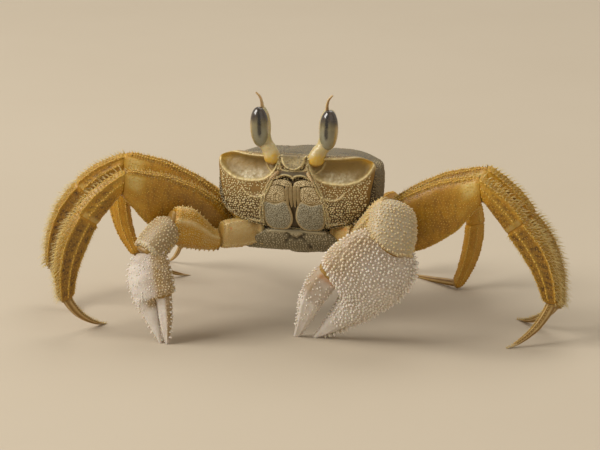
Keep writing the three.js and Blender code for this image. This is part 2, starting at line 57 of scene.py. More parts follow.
Colour = tuple[float, float, float]
Table = tuple[tuple[float, ...], ...]

LOG = logging.getLogger("ghost_crab")
MM = 0.001
SEED = 20
VERTICAL = np.array([0.0, 0.0, 1.0])
COAT_PATCH = 0.0015  # half the width of a tuft's patch on the coat's map
LIMB_COLUMNS = 72  # points round every joint of a walking leg
NOISE_PRIMES = (73856093, 19349663, 83492791)
NOISE_SEED_PRIME = 2654435
NOISE_MIX = 1274126177
NOISE_ORIGIN = 977.0  # keeps every cell number above zero


class Hand(Enum):
    """A side of the crab, as the sign of its X."""

    LEFT = 1
    RIGHT = -1

    @property
    def label(self) -> str:
        """The side's name in node and piece names."""
        return self.name.lower()


# ---------------------------------------------------------------- numbers and shapes


def unit(vectors: Array) -> Array:
    """Vectors scaled to length one."""
    return vectors / np.maximum(np.linalg.norm(vectors, axis=-1, keepdims=True), 1e-12)


def ramp(low: float, high: float, values: Array) -> Array:
    """A smooth step from 0 at low to 1 at high; low may be the larger one."""
    share = np.clip((values - low) / (high - low), 0.0, 1.0)
    return share * share * (3.0 - 2.0 * share)


def hump(values: Array, centre: float, width: float) -> Array:
    """A smooth hump of height 1 about a centre."""
    return np.exp(-(((values - centre) / width) ** 2))


def soft_power(base: Array, exponent: float) -> Array:
    """A power that keeps the sign of its base."""
    return np.sign(base) * np.abs(base) ** exponent


def full_turn(count: int) -> Array:
    """Angles spread evenly round a circle, in radians."""
    return np.linspace(0, 2 * math.pi, count, endpoint=False)


def all_round(values: Array, columns: int) -> Array:
    """One value for each row, repeated over its columns."""
    return np.repeat(values[:, None], columns, 1)


def wrapped(degrees: Array) -> Array:
    """Angles brought between -180 and 180 degrees."""
    return (degrees + 180) % 360 - 180


def follow(table: Table, places: Array) -> Array:
    """Read a table of (place, value, ...) rows along a smooth line that doesn't overshoot.

    Args:
        table: Rows in order of their first number, which is the place.
        places: Where to read it.

    Returns:
        One row of values for each place, or single values where the table has one column of them.
    """
    rows = np.array(table, float)
    x, y = rows[:, 0], rows[:, 1:]
    steps = np.diff(x)[:, None]
    slopes = np.diff(y, axis=0) / steps
    inner = slopes[:-1] * slopes[1:]
    mean = np.where(inner > 0, 2 * inner / np.where(inner > 0, slopes[:-1] + slopes[1:], 1.0), 0.0)
    tangents = np.vstack([slopes[:1], mean, slopes[-1:]])
    places = np.clip(np.asarray(places, float), x[0], x[-1])
    span = np.clip(np.searchsorted(x, places, side="right") - 1, 0, len(x) - 2)
    width = steps[span]
    t = ((places - x[span]) / width[:, 0])[:, None]
    value = (
        (2 * t**3 - 3 * t**2 + 1) * y[span]
        + (t**3 - 2 * t**2 + t) * width * tangents[span]
        + (3 * t**2 - 2 * t**3) * y[span + 1]
        + (t**3 - t**2) * width * tangents[span + 1]
    )
    return value[:, 0] if value.shape[1] == 1 else value


def smooth_line(points: Array, count: int, closed: bool = False) -> Array:
    """A rounded line through a few points.

    Args:
        points: The points it passes through.
        count: How many points to return.
        closed: Whether the line returns to its start.

    Returns:
        Points along the line.
    """
    points = np.asarray(points, float)
    size = len(points)
    places = np.linspace(0, size if closed else size - 1, count, endpoint=not closed)
    start = np.floor(places).astype(int)
    if not closed:
        start = np.minimum(start, size - 2)
    t = (places - start)[:, None]

    def pick(offset: int) -> Array:
        """The points this many places on from each start."""
        index = start + offset
        return points[index % size] if closed else points[np.clip(index, 0, size - 1)]

    before, low, high, after = pick(-1), pick(0), pick(1), pick(2)
    return 0.5 * (
        2 * low
        + (high - before) * t
        + (2 * before - 5 * low + 4 * high - after) * t**2
        + (3 * low - before - 3 * high + after) * t**3
    )


def line_distance(across: Array, up: Array, line: Array) -> Array:
    """Distance of flat places from a line of points.

    Args:
        across: First coordinate of the places.
        up: Second coordinate of the places.
        line: Points of the line.

    Returns:
        The distance of each place.
    """
    shape = across.shape
    places = np.stack([across.ravel(), up.ravel()], 1)
    best = np.full(len(places), np.inf)
    for start, end in zip(line[:-1], line[1:]):
        along = end - start
        share = np.clip((places - start) @ along / max(along @ along, 1e-12), 0, 1)
        gap = places - start - share[:, None] * along
        best = np.minimum(best, np.einsum("ij,ij->i", gap, gap))
    return np.sqrt(best).reshape(shape)


def lump_noise(points: Array, cell: float, seed: int) -> Array:
    """Smooth noise from -1 to 1 with lumps about as wide as a cell.

    Args:
        points: Places, with three coordinates last.
        cell: Width of a lump.
        seed: Which noise.

    Returns:
        One value for each place.
    """
    shifted = points / cell + NOISE_ORIGIN
    base = np.floor(shifted).astype(np.int64)
    part = shifted - base
    part = part * part * (3 - 2 * part)
    total = np.zeros(points.shape[:-1])
    for corner in np.ndindex(2, 2, 2):
        where = base + np.array(corner)
        first, second, third = (where[..., axis] * prime for axis, prime in enumerate(NOISE_PRIMES))
        mixed = first ^ second ^ third ^ seed * NOISE_SEED_PRIME
        mixed = (mixed ^ (mixed >> 13)) * NOISE_MIX & 0xFFFFFFFF
        value = ((mixed ^ (mixed >> 16)) & 0xFFFF) / 32767.5 - 1.0
        weight = np.prod(np.where(corner, part, 1 - part), axis=-1)
        total += value * weight
    return total


def flat_noise(x: Array, z: Array, cell: float, seed: int) -> Array:
    """Smooth noise over flat places, as lump_noise gives it."""
    return lump_noise(np.stack([x, z, 0 * x], -1), cell, seed)


def srgb(red: int, green: int, blue: int) -> Colour:
    """A display colour from 0 to 255 as linear light."""
    return tuple(((c / 255 + 0.055) / 1.055) ** 2.4 if c > 10 else c / 3294.6 for c in (red, green, blue))


# ---------------------------------------------------------------- surfaces


@dataclass
class Surface:
    """A closed surface as a grid of points: rows run along it and columns run round it."""

    grid: Array
    tints: dict[str, Array] = field(default_factory=dict)

    def normals(self) -> Array:
        """Outward normals at the grid's points.

        Returns:
            One for each point.
        """
        along = np.gradient(self.grid, axis=0)
        around = np.roll(self.grid, -1, axis=1) - np.roll(self.grid, 1, axis=1)
        found = unit(np.cross(around, along))
        outward = self.grid - self.grid.mean(axis=1, keepdims=True)
        return found if np.sum(found * outward) > 0 else -found

    def raised(self, height: Array) -> "Surface":
        """The surface with each point moved out by a height."""
        return Surface(self.grid + self.normals() * height[..., None], self.tints)

    def ring(self, share: float) -> Array:
        """The ring of points at a share of the rows."""
        return self.grid[int(round(share * (len(self.grid) - 1)))]

    def shell(self) -> "Shell":
        """The surface as a mesh that is closed at both ends.

        Returns:
            The mesh, with its faces outward.
        """
        rows, columns = self.grid.shape[:2]
        index = np.arange(rows * columns).reshape(rows, columns)
        nxt = np.roll(index, -1, axis=1)
        quads = np.stack([index[:-1], nxt[:-1], nxt[1:], index[1:]], -1).reshape(-1, 4)
        first, last = rows * columns, rows * columns + 1
        fans = np.vstack([
            np.stack([np.full(columns, first), nxt[0], index[0]], 1),
            np.stack([np.full(columns, last), index[-1], nxt[-1]], 1),
        ])
        points = np.vstack([self.grid.reshape(-1, 3), self.grid[0].mean(0), self.grid[-1].mean(0)])
        tints = {name: np.append(value.ravel(), [value[0].mean(), value[-1].mean()])
                 for name, value in self.tints.items()}
        return Shell(points, [quads, fans], tints).turned_out()


@dataclass
class Shell:
    """A mesh in the making: points, faces by their number of corners, and values on the points."""

    points: Array
    faces: list[Array]
    tints: dict[str, Array] = field(default_factory=dict)
    root_map: Array | None = None

    def turned_out(self) -> "Shell":
        """The same shell with its faces pointing outward.

        Returns:
            The shell.
        """
        volume = 0.0
        for faces in self.faces:
            a, b, c = (self.points[faces[:, k]] for k in (0, 1, 2))
            volume += np.sum(a * np.cross(b, c))
            if faces.shape[1] == 4:
                volume += np.sum(a * np.cross(c, self.points[faces[:, 3]]))
        if volume < 0:
            self.faces = [faces[:, ::-1] for faces in self.faces]
        return self

    @staticmethod
    def joined(shells: list["Shell"]) -> "Shell":
        """Several shells as one, each keeping its faces, values and map.

        Args:
            shells: The shells.

        Returns:
            The one shell.
        """
        start = 0
        faces: list[Array] = []
        for shell in shells:
            faces += [part + start for part in shell.faces]
            start += len(shell.points)
        names = sorted({name for shell in shells for name in shell.tints})
        tints = {
            name: np.concatenate([shell.tints.get(name, np.zeros(len(shell.points))) for shell in shells])
            for name in names
        }
        maps = [shell.root_map for shell in shells]
        root_map = None if any(one is None for one in maps) else np.vstack(maps)
        return Shell(np.vstack([shell.points for shell in shells]), faces, tints, root_map)


@dataclass
class Spots:
    """Places on a surface where something grows."""

    points: Array
    normals: Array
    along: Array
    flat: Array  # places on the unwrapped surface, from 0 to 1
    tone: Array

    def kept(self, mask: Array) -> "Spots":
        """Only the places where the mask is true."""
        return Spots(*(getattr(self, part.name)[mask] for part in fields(self)))

    @staticmethod
    def gathered(groups: list["Spots"]) -> "Spots":
        """Several groups of places as one."""
        return Spots(*(np.concatenate([getattr(group, part.name) for group in groups])
                       for part in fields(Spots)))


@dataclass(frozen=True)
class Cell:
    """A surface's own rectangle on the map that its coat shares with other surfaces."""

    column: int = 0
    row: int = 0
    columns: int = 1
    rows: int = 1
    margin: float = 0.04

    def place(self, across: Array, up: Array) -> Array:
        """Places from 0 to 1 on the surface, carried into this rectangle.

        Args:
            across: Places round the surface.
            up: Places along it.

        Returns:
            Places on the shared map.
        """
        inner = 1 - 2 * self.margin
        return np.stack([
            (self.column + self.margin + inner * across) / self.columns,
            (self.row + self.margin + inner * up) / self.rows,
        ], 1)


def spread(surface: Surface, spacing: float, rng: np.random.Generator, cell: Cell,
           span: tuple[float, float] = (0.0, 1.0), tone: str = "") -> Spots:
    """Spread places evenly over a surface, in staggered rows with some unevenness.

    Args:
        surface: What they lie on.
        spacing: Distance between neighbours.
        rng: Source of the unevenness.
        cell: The surface's rectangle on the coat's map.
        span: Shares of the rows between which they lie.
        tone: Name of the surface's value that each place keeps.

    Returns:
        The places.
    """
    grid = surface.grid
    rows, columns = grid.shape[:2]
    normals = surface.normals()
    steps = np.linalg.norm(np.diff(grid, axis=0), axis=-1).mean(1)
    length = np.concatenate([[0], np.cumsum(steps)])
    low, high = np.interp(span, [0, 1], [0, rows - 1])
    ends = np.interp([low, high], np.arange(rows), length)
    found_rows, found_columns = [], []
    start = ends[0] + min(spacing, ends[1] - ends[0]) / 2
    for number, reach in enumerate(np.arange(start, ends[1], spacing * 0.88)):
        row = float(np.interp(reach, length, np.arange(rows)))
        ring = grid[int(row)]
        hop = np.linalg.norm(np.roll(ring, -1, axis=0) - ring, axis=-1)
        around = np.concatenate([[0], np.cumsum(hop)])
        count = max(1, int(around[-1] / spacing))
        turns = (np.arange(count) + 0.5 * (number % 2) + rng.uniform(-0.28, 0.28, count)) / count
        found_columns.append(np.interp((turns % 1) * around[-1], around, np.arange(columns + 1)))
        shake = spacing / max(steps[int(min(row, rows - 2))], 1e-6)
        found_rows.append(row + rng.uniform(-0.25, 0.25, count) * shake)
    row = np.clip(np.concatenate(found_rows), 0, rows - 1.001)
    column = np.concatenate(found_columns) % columns
    return spots_at(surface, normals, row, column, cell, tone)


def spots_at(surface: Surface, normals: Array, row: Array, column: Array, cell: Cell,
             tone: str = "") -> Spots:
    """Places on a surface from fractional rows and columns of its grid.

    Args:
        surface: What they lie on.
        normals: The surface's normals.
        row: Fractional rows.
        column: Fractional columns.
        cell: The surface's rectangle on the coat's map.
        tone: Name of the surface's value that each place keeps.

    Returns:
        The places.
    """
    rows, columns = surface.grid.shape[:2]
    low = np.minimum(row.astype(int), rows - 2)
    left = column.astype(int) % columns
    right = (left + 1) % columns
    v, u = row - low, column - np.floor(column)

    def read(values: Array) -> Array:
        """Values between the four nearest grid points.

        Args:
            values: Values on the grid's points.

        Returns:
            One value for each place.
        """
        extra = (slice(None),) + (None,) * (values.ndim - 2)
        top = values[low, left] * (1 - u)[extra] + values[low, right] * u[extra]
        bottom = values[low + 1, left] * (1 - u)[extra] + values[low + 1, right] * u[extra]
        return top * (1 - v)[extra] + bottom * v[extra]

    value = surface.tints.get(tone)
    return Spots(
        read(surface.grid), unit(read(normals)), unit(surface.grid[low + 1, left] - surface.grid[low, left]),
        cell.place(column / columns, row / (rows - 1)), np.zeros(len(row)) if value is None else read(value),
    )


@dataclass(frozen=True)
class Bump:
    """A small solid that stands on the shell, as rings of (radius share, height share) up to its point."""

    profile: tuple[tuple[float, float], ...] = ((1.0, -0.25), (0.78, 0.55))
    sides: int = 6

    def grown(self, spots: Spots, radius: Array, height: Array, lean: Array | None = None,
              stretch: Array | None = None) -> Shell:
        """Grow one bump on each place.

        Args:
            spots: The places.
            radius: Radius of each bump at its foot.
            height: Height of each bump.
            lean: How far each tip is carried along the surface, in heights.
            stretch: How much longer each bump is along the surface than across it.

        Returns:
            All the bumps as one shell, with the coat's map.
        """
        count = len(spots.points)
        lean = np.zeros(count) if lean is None else lean
        stretch = np.ones(count) if stretch is None else stretch
        side = unit(np.cross(spots.normals, spots.along))
        along = unit(np.cross(side, spots.normals))
        turn = full_turn(self.sides)
        circle = np.stack([np.cos(turn), np.sin(turn)], 1)[None]
        rings, patches, tips = [], [], []
        for share, rise in self.profile:
            centre = spots.points + spots.normals * (rise * height)[:, None]
            centre = centre + along * (max(rise, 0) ** 1.5 * lean * height)[:, None]
            reach = (share * radius)[:, None, None]
            across = np.cos(turn)[None, :, None] * side[:, None]
            ahead = np.sin(turn)[None, :, None] * along[:, None] * stretch[:, None, None]
            rings.append(centre[:, None] + reach * (across + ahead))
            patches.append(spots.flat[:, None] + COAT_PATCH * share * circle)
            tips.append(np.full((count, self.sides), min(1.0, 1.5 * max(rise, 0))))
        tip = spots.points + spots.normals * height[:, None] + along * (lean * height)[:, None]
        points = np.concatenate([*rings, tip[:, None]], axis=1)
        flat = np.concatenate([*patches, spots.flat[:, None]], axis=1)
        tops = np.concatenate([*tips, np.ones((count, 1))], axis=1)
        size = points.shape[1]
        quads, fan = [], []
        for corner in range(self.sides):
            nxt = (corner + 1) % self.sides
            for level in range(len(self.profile) - 1):
                low = level * self.sides
                quads.append([low + corner, low + nxt, low + self.sides + nxt, low + self.sides + corner])
            top = (len(self.profile) - 1) * self.sides
            fan.append([top + corner, top + nxt, size - 1])
        start = (np.arange(count) * size)[:, None, None]
        faces = [(np.array(fan)[None] + start).reshape(-1, 3)]
        if quads:
            faces.append((np.array(quads)[None] + start).reshape(-1, 4))
        tints = {"tip": tops.ravel(), "tone": np.repeat(spots.tone, size)}
        return Shell(points.reshape(-1, 3), faces, tints, flat.reshape(-1, 2))


GRANULE = Bump()
LOW_GRANULE = Bump(((1.0, -0.25), (0.72, 0.6)), 5)
KNOB = Bump(((1.0, -0.25), (0.74, 0.4), (0.4, 0.8)), 7)
SPINE = Bump(((1.0, -0.25), (0.62, 0.42)), 6)
SETA = Bump(((1.0, -0.05), (0.8, 0.35), (0.5, 0.7)), 3)


# ---------------------------------------------------------------- finishes


@dataclass
class Wiring:
    """Adds and links nodes in one shader tree."""

    tree: bpy.types.NodeTree

    def node(self, kind: str, inputs: dict[str | int, object] | None = None,
             **settings: object) -> bpy.types.Node:
        """Add a node.

        Args:
            kind: Blender's name for the node.
            inputs: Sockets or plain values for its inputs, by name or number.
            settings: Its own settings.

        Returns:
            The node.
        """
        made = self.tree.nodes.new(kind)
        for name, value in settings.items():
            setattr(made, name, value)
        for name, value in (inputs or {}).items():
            if isinstance(value, bpy.types.NodeSocket):
                self.tree.links.new(value, made.inputs[name])
            else:
                made.inputs[name].default_value = value
        return made

    def math(self, operation: str, first: object, second: object = 0.0) -> bpy.types.NodeSocket:
        """The result of one sum on two values."""
        return self.node("ShaderNodeMath", {0: first, 1: second}, operation=operation).outputs[0]

    def mixed(self, share: object, first: object, second: object) -> bpy.types.NodeSocket:
        """A colour between two colours."""
        sockets = {0: share, 6: first, 7: second}
        return self.node("ShaderNodeMix", sockets, data_type="RGBA").outputs[2]

    def noise(self, vector: object, scale: object, detail: float,
              roughness: float = 0.55) -> bpy.types.NodeSocket:
        """The value of a noise texture."""
        inputs = {"Vector": vector, "Scale": scale, "Detail": detail, "Roughness": roughness}
        return self.node("ShaderNodeTexNoise", inputs).outputs["Fac"]

    def group(self, tree: bpy.types.NodeTree, **inputs: object) -> bpy.types.NodeSocket:
        """The result of a shader group, with its inputs by name."""
        return self.node("ShaderNodeGroup", inputs, node_tree=tree).outputs[0]


class Effects:
    """The shader groups that every finish shares."""

    def __init__(self) -> None:
        """Build each group once."""
        self.mottling = self._group("shell_mottling", ("Base", "Second", "Scale", "Amount"), "Colour")
        self.laying = self._group("laid_colour", ("Under", "Over", "Mask", "Scale", "Speckle"), "Colour")
        self.grain = self._group("shell_grain", ("Scale", "Pits"), "Height")
        self.sheen = self._group("shell_sheen", ("Dull", "Spread", "Scale"), "Roughness")
        self._fill_mottling()
        self._fill_laying()
        self._fill_grain()
        self._fill_sheen()

    @staticmethod
    def _group(name: str, inputs: tuple[str, ...], output: str) -> bpy.types.NodeTree:
        """An empty shader group with named sockets.

        Args:
            name: The group's name.
            inputs: Names of its inputs after Vector.
            output: Name of its output.

        Returns:
            The group.
        """
        kinds = {"Vector": "NodeSocketVector"}
        kinds |= dict.fromkeys(("Base", "Second", "Under", "Over", "Colour"), "NodeSocketColor")
        tree = bpy.data.node_groups.new(name, "ShaderNodeTree")
        ways = [(socket, "INPUT") for socket in ("Vector", *inputs)] + [(output, "OUTPUT")]
        for socket, way in ways:
            kind = kinds.get(socket, "NodeSocketFloat")
            tree.interface.new_socket(socket, in_out=way, socket_type=kind)
        return tree

    @staticmethod
    def _ends(tree: bpy.types.NodeTree) -> tuple[Wiring, bpy.types.NodeOutputs, bpy.types.Node]:
        """A wiring for the group, its inputs' sockets and its output node."""
        wiring = Wiring(tree)
        return wiring, wiring.node("NodeGroupInput").outputs, wiring.node("NodeGroupOutput")

    def _fill_mottling(self) -> None:
        """Broad and fine patches of a second colour over the base."""
        wiring, given, out = self._ends(self.mottling)
        broad = wiring.noise(given["Vector"], given["Scale"], 3.0)
        fine = wiring.noise(given["Vector"], wiring.math("MULTIPLY", given["Scale"], 6.3), 2.0, 0.7)
        both = wiring.math("ADD", wiring.math("MULTIPLY", broad, 0.65), wiring.math("MULTIPLY", fine, 0.35))
        steep = wiring.node("ShaderNodeMapRange", {"Value": both, "From Min": 0.40, "From Max": 0.62})
        share = wiring.math("MULTIPLY", steep.outputs[0], given["Amount"])
        wiring.tree.links.new(wiring.mixed(share, given["Base"], given["Second"]), out.inputs["Colour"])

    def _fill_laying(self) -> None:
        """One colour over another where a mask is high, with an uneven edge."""
        wiring, given, out = self._ends(self.laying)
        rough = wiring.noise(given["Vector"], given["Scale"], 3.0, 0.6)
        uneven = wiring.math("MULTIPLY", wiring.math("SUBTRACT", rough, 0.5), given["Speckle"])
        bounded = wiring.math("MULTIPLY", uneven, given["Mask"])
        share = wiring.node("ShaderNodeClamp", {"Value": wiring.math("ADD", given["Mask"], bounded)})
        colour = wiring.mixed(share.outputs[0], given["Under"], given["Over"])
        wiring.tree.links.new(colour, out.inputs["Colour"])

    def _fill_grain(self) -> None:
        """The fine grain of shell, with small pits."""
        wiring, given, out = self._ends(self.grain)
        fine = wiring.noise(given["Vector"], given["Scale"], 4.0, 0.65)
        cells = wiring.node("ShaderNodeTexVoronoi", {"Vector": given["Vector"], "Scale": given["Scale"]})
        rounded = wiring.math("SMOOTH_MIN", cells.outputs["Distance"], 0.5)
        pits = wiring.math("MULTIPLY", rounded, given["Pits"])
        wiring.tree.links.new(wiring.math("ADD", fine, pits), out.inputs["Height"])

    def _fill_sheen(self) -> None:
        """Roughness that varies over the surface as handling and dust leave it."""
        wiring, given, out = self._ends(self.sheen)
        patches = wiring.noise(given["Vector"], given["Scale"], 3.0)
        offset = wiring.math("MULTIPLY", wiring.math("SUBTRACT", patches, 0.5), given["Spread"])
        wiring.tree.links.new(wiring.math("ADD", given["Dull"], offset), out.inputs["Roughness"])


RELIEF_STRENGTH = 0.6
FLESH_RADIUS = (1.0, 0.45, 0.15)
FLESH_DEPTH = 0.9
GLOSS_ROUGHNESS = 0.06


@dataclass(frozen=True)
class Layer:
    """A colour laid over a finish where one of the surface's own values is high."""

    value: str
    colour: Colour
    speckle: float = 1.4


@dataclass(frozen=True)
class Finish:
    """One finish: its colours, its grain and its gloss. Sizes are in millimetres."""

    name: str
    slot: str
    base: Colour
    second: Colour
    layers: tuple[Layer, ...] = ()
    mottle_size: float = 3.0
    mottle_amount: float = 0.7
    grain_size: float = 0.35
    grain_depth: float = 0.06
    pits: float = 0.6
    dull: float = 0.5
    dull_spread: float = 0.25
    flesh: float = 0.0
    gloss: float = 0.0

    def material(self, effects: Effects) -> bpy.types.Material:
        """Build the finish as a material.

        Args:
            effects: The shader groups that finishes share.

        Returns:
            The material.
        """
        made = bpy.data.materials.new(self.name)
        made.use_nodes = True
        made.node_tree.nodes.clear()
        wiring = Wiring(made.node_tree)
        where = wiring.node("ShaderNodeTexCoord").outputs["Object"]
        mottle, grain = self.mottle_size * MM, self.grain_size * MM
        colour = wiring.group(effects.mottling, Vector=where, Base=(*self.base, 1), Second=(*self.second, 1),
                              Scale=1 / mottle, Amount=self.mottle_amount)
        for layer in self.layers:
            value = wiring.node("ShaderNodeAttribute", attribute_name=layer.value).outputs["Fac"]
            colour = wiring.group(effects.laying, Vector=where, Under=colour, Over=(*layer.colour, 1),
                                  Mask=value, Scale=0.5 / grain, Speckle=layer.speckle)
        height = wiring.group(effects.grain, Vector=where, Scale=1 / grain, Pits=self.pits)
        roughness = wiring.group(effects.sheen, Vector=where, Dull=self.dull, Spread=self.dull_spread,
                                 Scale=0.6 / mottle)
        relief = wiring.node("ShaderNodeBump", {
            "Height": height, "Strength": RELIEF_STRENGTH, "Distance": self.grain_depth * MM,
        })
        shader = wiring.node("ShaderNodeBsdfPrincipled", {
            "Base Color": colour, "Roughness": roughness, "Normal": relief.outputs["Normal"],
            "Subsurface Weight": self.flesh, "Subsurface Radius": FLESH_RADIUS,
            "Subsurface Scale": FLESH_DEPTH * MM, "Coat Weight": self.gloss,
            "Coat Roughness": GLOSS_ROUGHNESS,
        })
        wiring.node("ShaderNodeOutputMaterial", {"Surface": shader.outputs["BSDF"]})
        return made


CREAM = srgb(234, 214, 158)

SHELL = Finish(
    "shell_body", "carapace", srgb(122, 98, 56), srgb(88, 70, 38),
    # The shade layer is painted shade, laid over the flanks, the underside and the bottom of the face.
    (Layer("grey", srgb(98, 88, 68)), Layer("shade", srgb(64, 52, 32)), Layer("warm", srgb(146, 112, 54)),
     # The eye hollow's yellow-brown, laid fullest under its upper rim as painted shadow.
     Layer("orbit_roof", srgb(148, 120, 58), 0.8), Layer("orbit_floor", srgb(204, 192, 158), 3.0),
     Layer("amber", srgb(206, 164, 52)), Layer("orange", srgb(176, 104, 36)),
     # Painted shade in the grooves, the sutures and the mouth's recess.
     Layer("hollow", srgb(58, 44, 20), 0.8),
     Layer("crest", CREAM)),
    mottle_size=2.2, mottle_amount=0.65, grain_size=0.3, grain_depth=0.08, flesh=0.08,
)
SHELL_GRAINS = Finish(
    "shell_granules", "carapace", srgb(116, 92, 50), srgb(92, 72, 38),
    (Layer("tip", srgb(226, 206, 156), 0.6), Layer("tone", srgb(138, 127, 102), 0.8),
     # The third layer is painted shade on the granules along the flanks.
     Layer("dim", srgb(104, 90, 60), 0.8)),
    mottle_size=2.6, mottle_amount=0.6, grain_size=0.2, grain_depth=0.02, dull=0.42, flesh=0.1,
)
MOUTH = Finish(
    "mouth_plate_shell", "mouth_plate", srgb(160, 138, 94), srgb(132, 112, 74),
    # The second layer is painted shade in the gaps round each plate.
    (Layer("grey", srgb(126, 119, 96)), Layer("hollow", srgb(70, 56, 32), 0.8),
     Layer("crest", srgb(214, 192, 144))),
    mottle_size=1.6, grain_size=0.25, flesh=0.08,
)
MOUTH_GRAINS = Finish(
    "mouth_plate_granules", "mouth_plate", srgb(132, 112, 74), srgb(110, 96, 66),
    (Layer("tip", srgb(234, 214, 168), 0.6), Layer("tone", srgb(186, 179, 154), 0.8)),
    mottle_size=1.6, grain_size=0.2, grain_depth=0.02, dull=0.45,
)
BREAST = Finish(
    "breastplate_shell", "breastplate", srgb(128, 117, 88), srgb(104, 94, 66),
    # The first layer is painted shade in the seams of the breastplate and the tail flap.
    (Layer("hollow", srgb(60, 50, 30), 0.8), Layer("crest", srgb(196, 180, 140))),
    mottle_size=2.4, grain_size=0.3, grain_depth=0.07, dull=0.55, flesh=0.05,
)
BREAST_GRAINS = Finish(
    "breastplate_granules", "breastplate", srgb(124, 112, 84), srgb(100, 90, 64),
    (Layer("tip", srgb(196, 182, 148), 0.6),), mottle_size=2.0, grain_size=0.2, grain_depth=0.02,
)
LEG = Finish(
    "leg_shell", "leg", srgb(194, 142, 26), srgb(166, 112, 14),
    (Layer("dusk", srgb(122, 88, 22), 1.0), Layer("pit", srgb(92, 60, 12), 4.0),
     Layer("pale", srgb(198, 158, 56)),
     # A pale patch at the knee and wrist: partly the leg's own paler joint, partly a painted highlight.
     Layer("cream", srgb(220, 196, 122)), Layer("crest", srgb(190, 148, 44))),
    mottle_size=3.4, mottle_amount=0.6, grain_size=0.4, grain_depth=0.07, dull=0.42, flesh=0.22,
)
LEG_GRAINS = Finish(
    "leg_granules", "leg", srgb(172, 124, 26), srgb(142, 98, 16),
    (Layer("tip", srgb(212, 168, 66), 0.6), Layer("tone", srgb(146, 104, 24), 0.8)),
    mottle_size=2.4, grain_size=0.2, grain_depth=0.02, dull=0.42, flesh=0.2,
)
TOE = Finish(
    "toe_shell", "toe", srgb(168, 130, 60), srgb(140, 102, 36),
    # The first layer is painted shade in the toe's grooves and at its root.
    (Layer("hollow", srgb(122, 86, 26)), Layer("crest", srgb(206, 180, 124)),
     Layer("tip", srgb(196, 174, 134))),
    mottle_size=1.8, grain_size=0.25, grain_depth=0.03, dull=0.38, flesh=0.2,
)
BRISTLE = Finish(
    "bristle", "leg", srgb(206, 170, 84), srgb(180, 140, 60), (Layer("tip", srgb(230, 206, 140)),),
    mottle_size=1.5, grain_size=0.15, grain_depth=0.01, flesh=0.2,
)
MEMBRANE = Finish(
    # Its one layer is painted shade in the skin's folds.
    "joint_skin", "leg", srgb(176, 140, 70), srgb(152, 116, 48), (Layer("hollow", srgb(118, 86, 34)),),
    mottle_size=1.2, grain_size=0.3, grain_depth=0.08, dull=0.4, flesh=0.08,
)
CLAW = Finish(
    "claw_shell", "claw", srgb(204, 191, 178), srgb(172, 156, 138),
    # The second layer is painted shade at the ends of the hand and finger.
    (Layer("tan", srgb(156, 126, 76)), Layer("hollow", srgb(140, 116, 80)),
     Layer("orange", srgb(190, 128, 56)),
     Layer("white", srgb(224, 216, 206))),
    mottle_size=2.6, mottle_amount=0.6, grain_size=0.45, grain_depth=0.09, dull=0.42, flesh=0.12,
)
CLAW_GRAINS = Finish(
    "claw_tubercles", "claw", srgb(190, 174, 148), srgb(168, 150, 118),
    (Layer("tip", srgb(240, 231, 220), 0.6), Layer("tone", srgb(208, 184, 140), 0.8)),
    mottle_size=2.4, grain_size=0.2, grain_depth=0.02, dull=0.38, flesh=0.12,
)
ARM = Finish(
    "claw_arm_shell", "claw_arm", srgb(194, 144, 32), srgb(166, 118, 22),
    (Layer("pale", srgb(196, 170, 116)), Layer("brown", srgb(158, 136, 100)),
     Layer("orange", srgb(204, 112, 30), 0.8),
     # The hollow layer is painted shade at the ends of the arm's joints.
     Layer("hollow", srgb(124, 90, 40)), Layer("crest", srgb(222, 200, 148)),
     Layer("white", srgb(214, 202, 174))),
    mottle_size=2.2, grain_size=0.35, grain_depth=0.08, dull=0.42, flesh=0.2,
)
ARM_GRAINS = Finish(
    "claw_arm_granules", "claw_arm", srgb(180, 138, 52), srgb(156, 114, 40),
    (Layer("tip", srgb(222, 194, 128), 0.6), Layer("tone", srgb(206, 190, 156), 0.8)),
    mottle_size=2.4, grain_size=0.2, grain_depth=0.02, dull=0.4, flesh=0.15,
)
STALK = Finish(
    "eyestalk_skin", "eyestalk", srgb(204, 186, 136), srgb(180, 156, 98),
    # The second layer is painted shade at the stalk's foot.
    (Layer("amber", srgb(206, 168, 62), 1.8), Layer("hollow", srgb(150, 112, 44))),
    mottle_size=1.6, mottle_amount=0.5, grain_size=0.35, grain_depth=0.04, dull=0.36, flesh=0.3, gloss=0.15,
)
CORNEA = Finish(
    "eye_glass", "cornea", srgb(138, 128, 94), srgb(114, 104, 72),
    (Layer("amber", srgb(196, 166, 100)), Layer("grey", srgb(140, 138, 116)),
     Layer("dome", srgb(58, 45, 38)),
     Layer("streak", srgb(22, 17, 12), 2.0)),
    mottle_size=2.4, grain_size=0.08, grain_depth=0.004, pits=1.0, dull=0.16,
    dull_spread=0.08, flesh=0.05, gloss=1.0,
)
STYLE = Finish(
    "style_horn", "style", srgb(172, 140, 92), srgb(144, 112, 68),
    (Layer("crest", srgb(210, 188, 144)), Layer("tip", srgb(200, 170, 120))),
    mottle_size=0.9, grain_size=0.2, grain_depth=0.02, dull=0.36, flesh=0.2,
)


# ---------------------------------------------------------------- bench


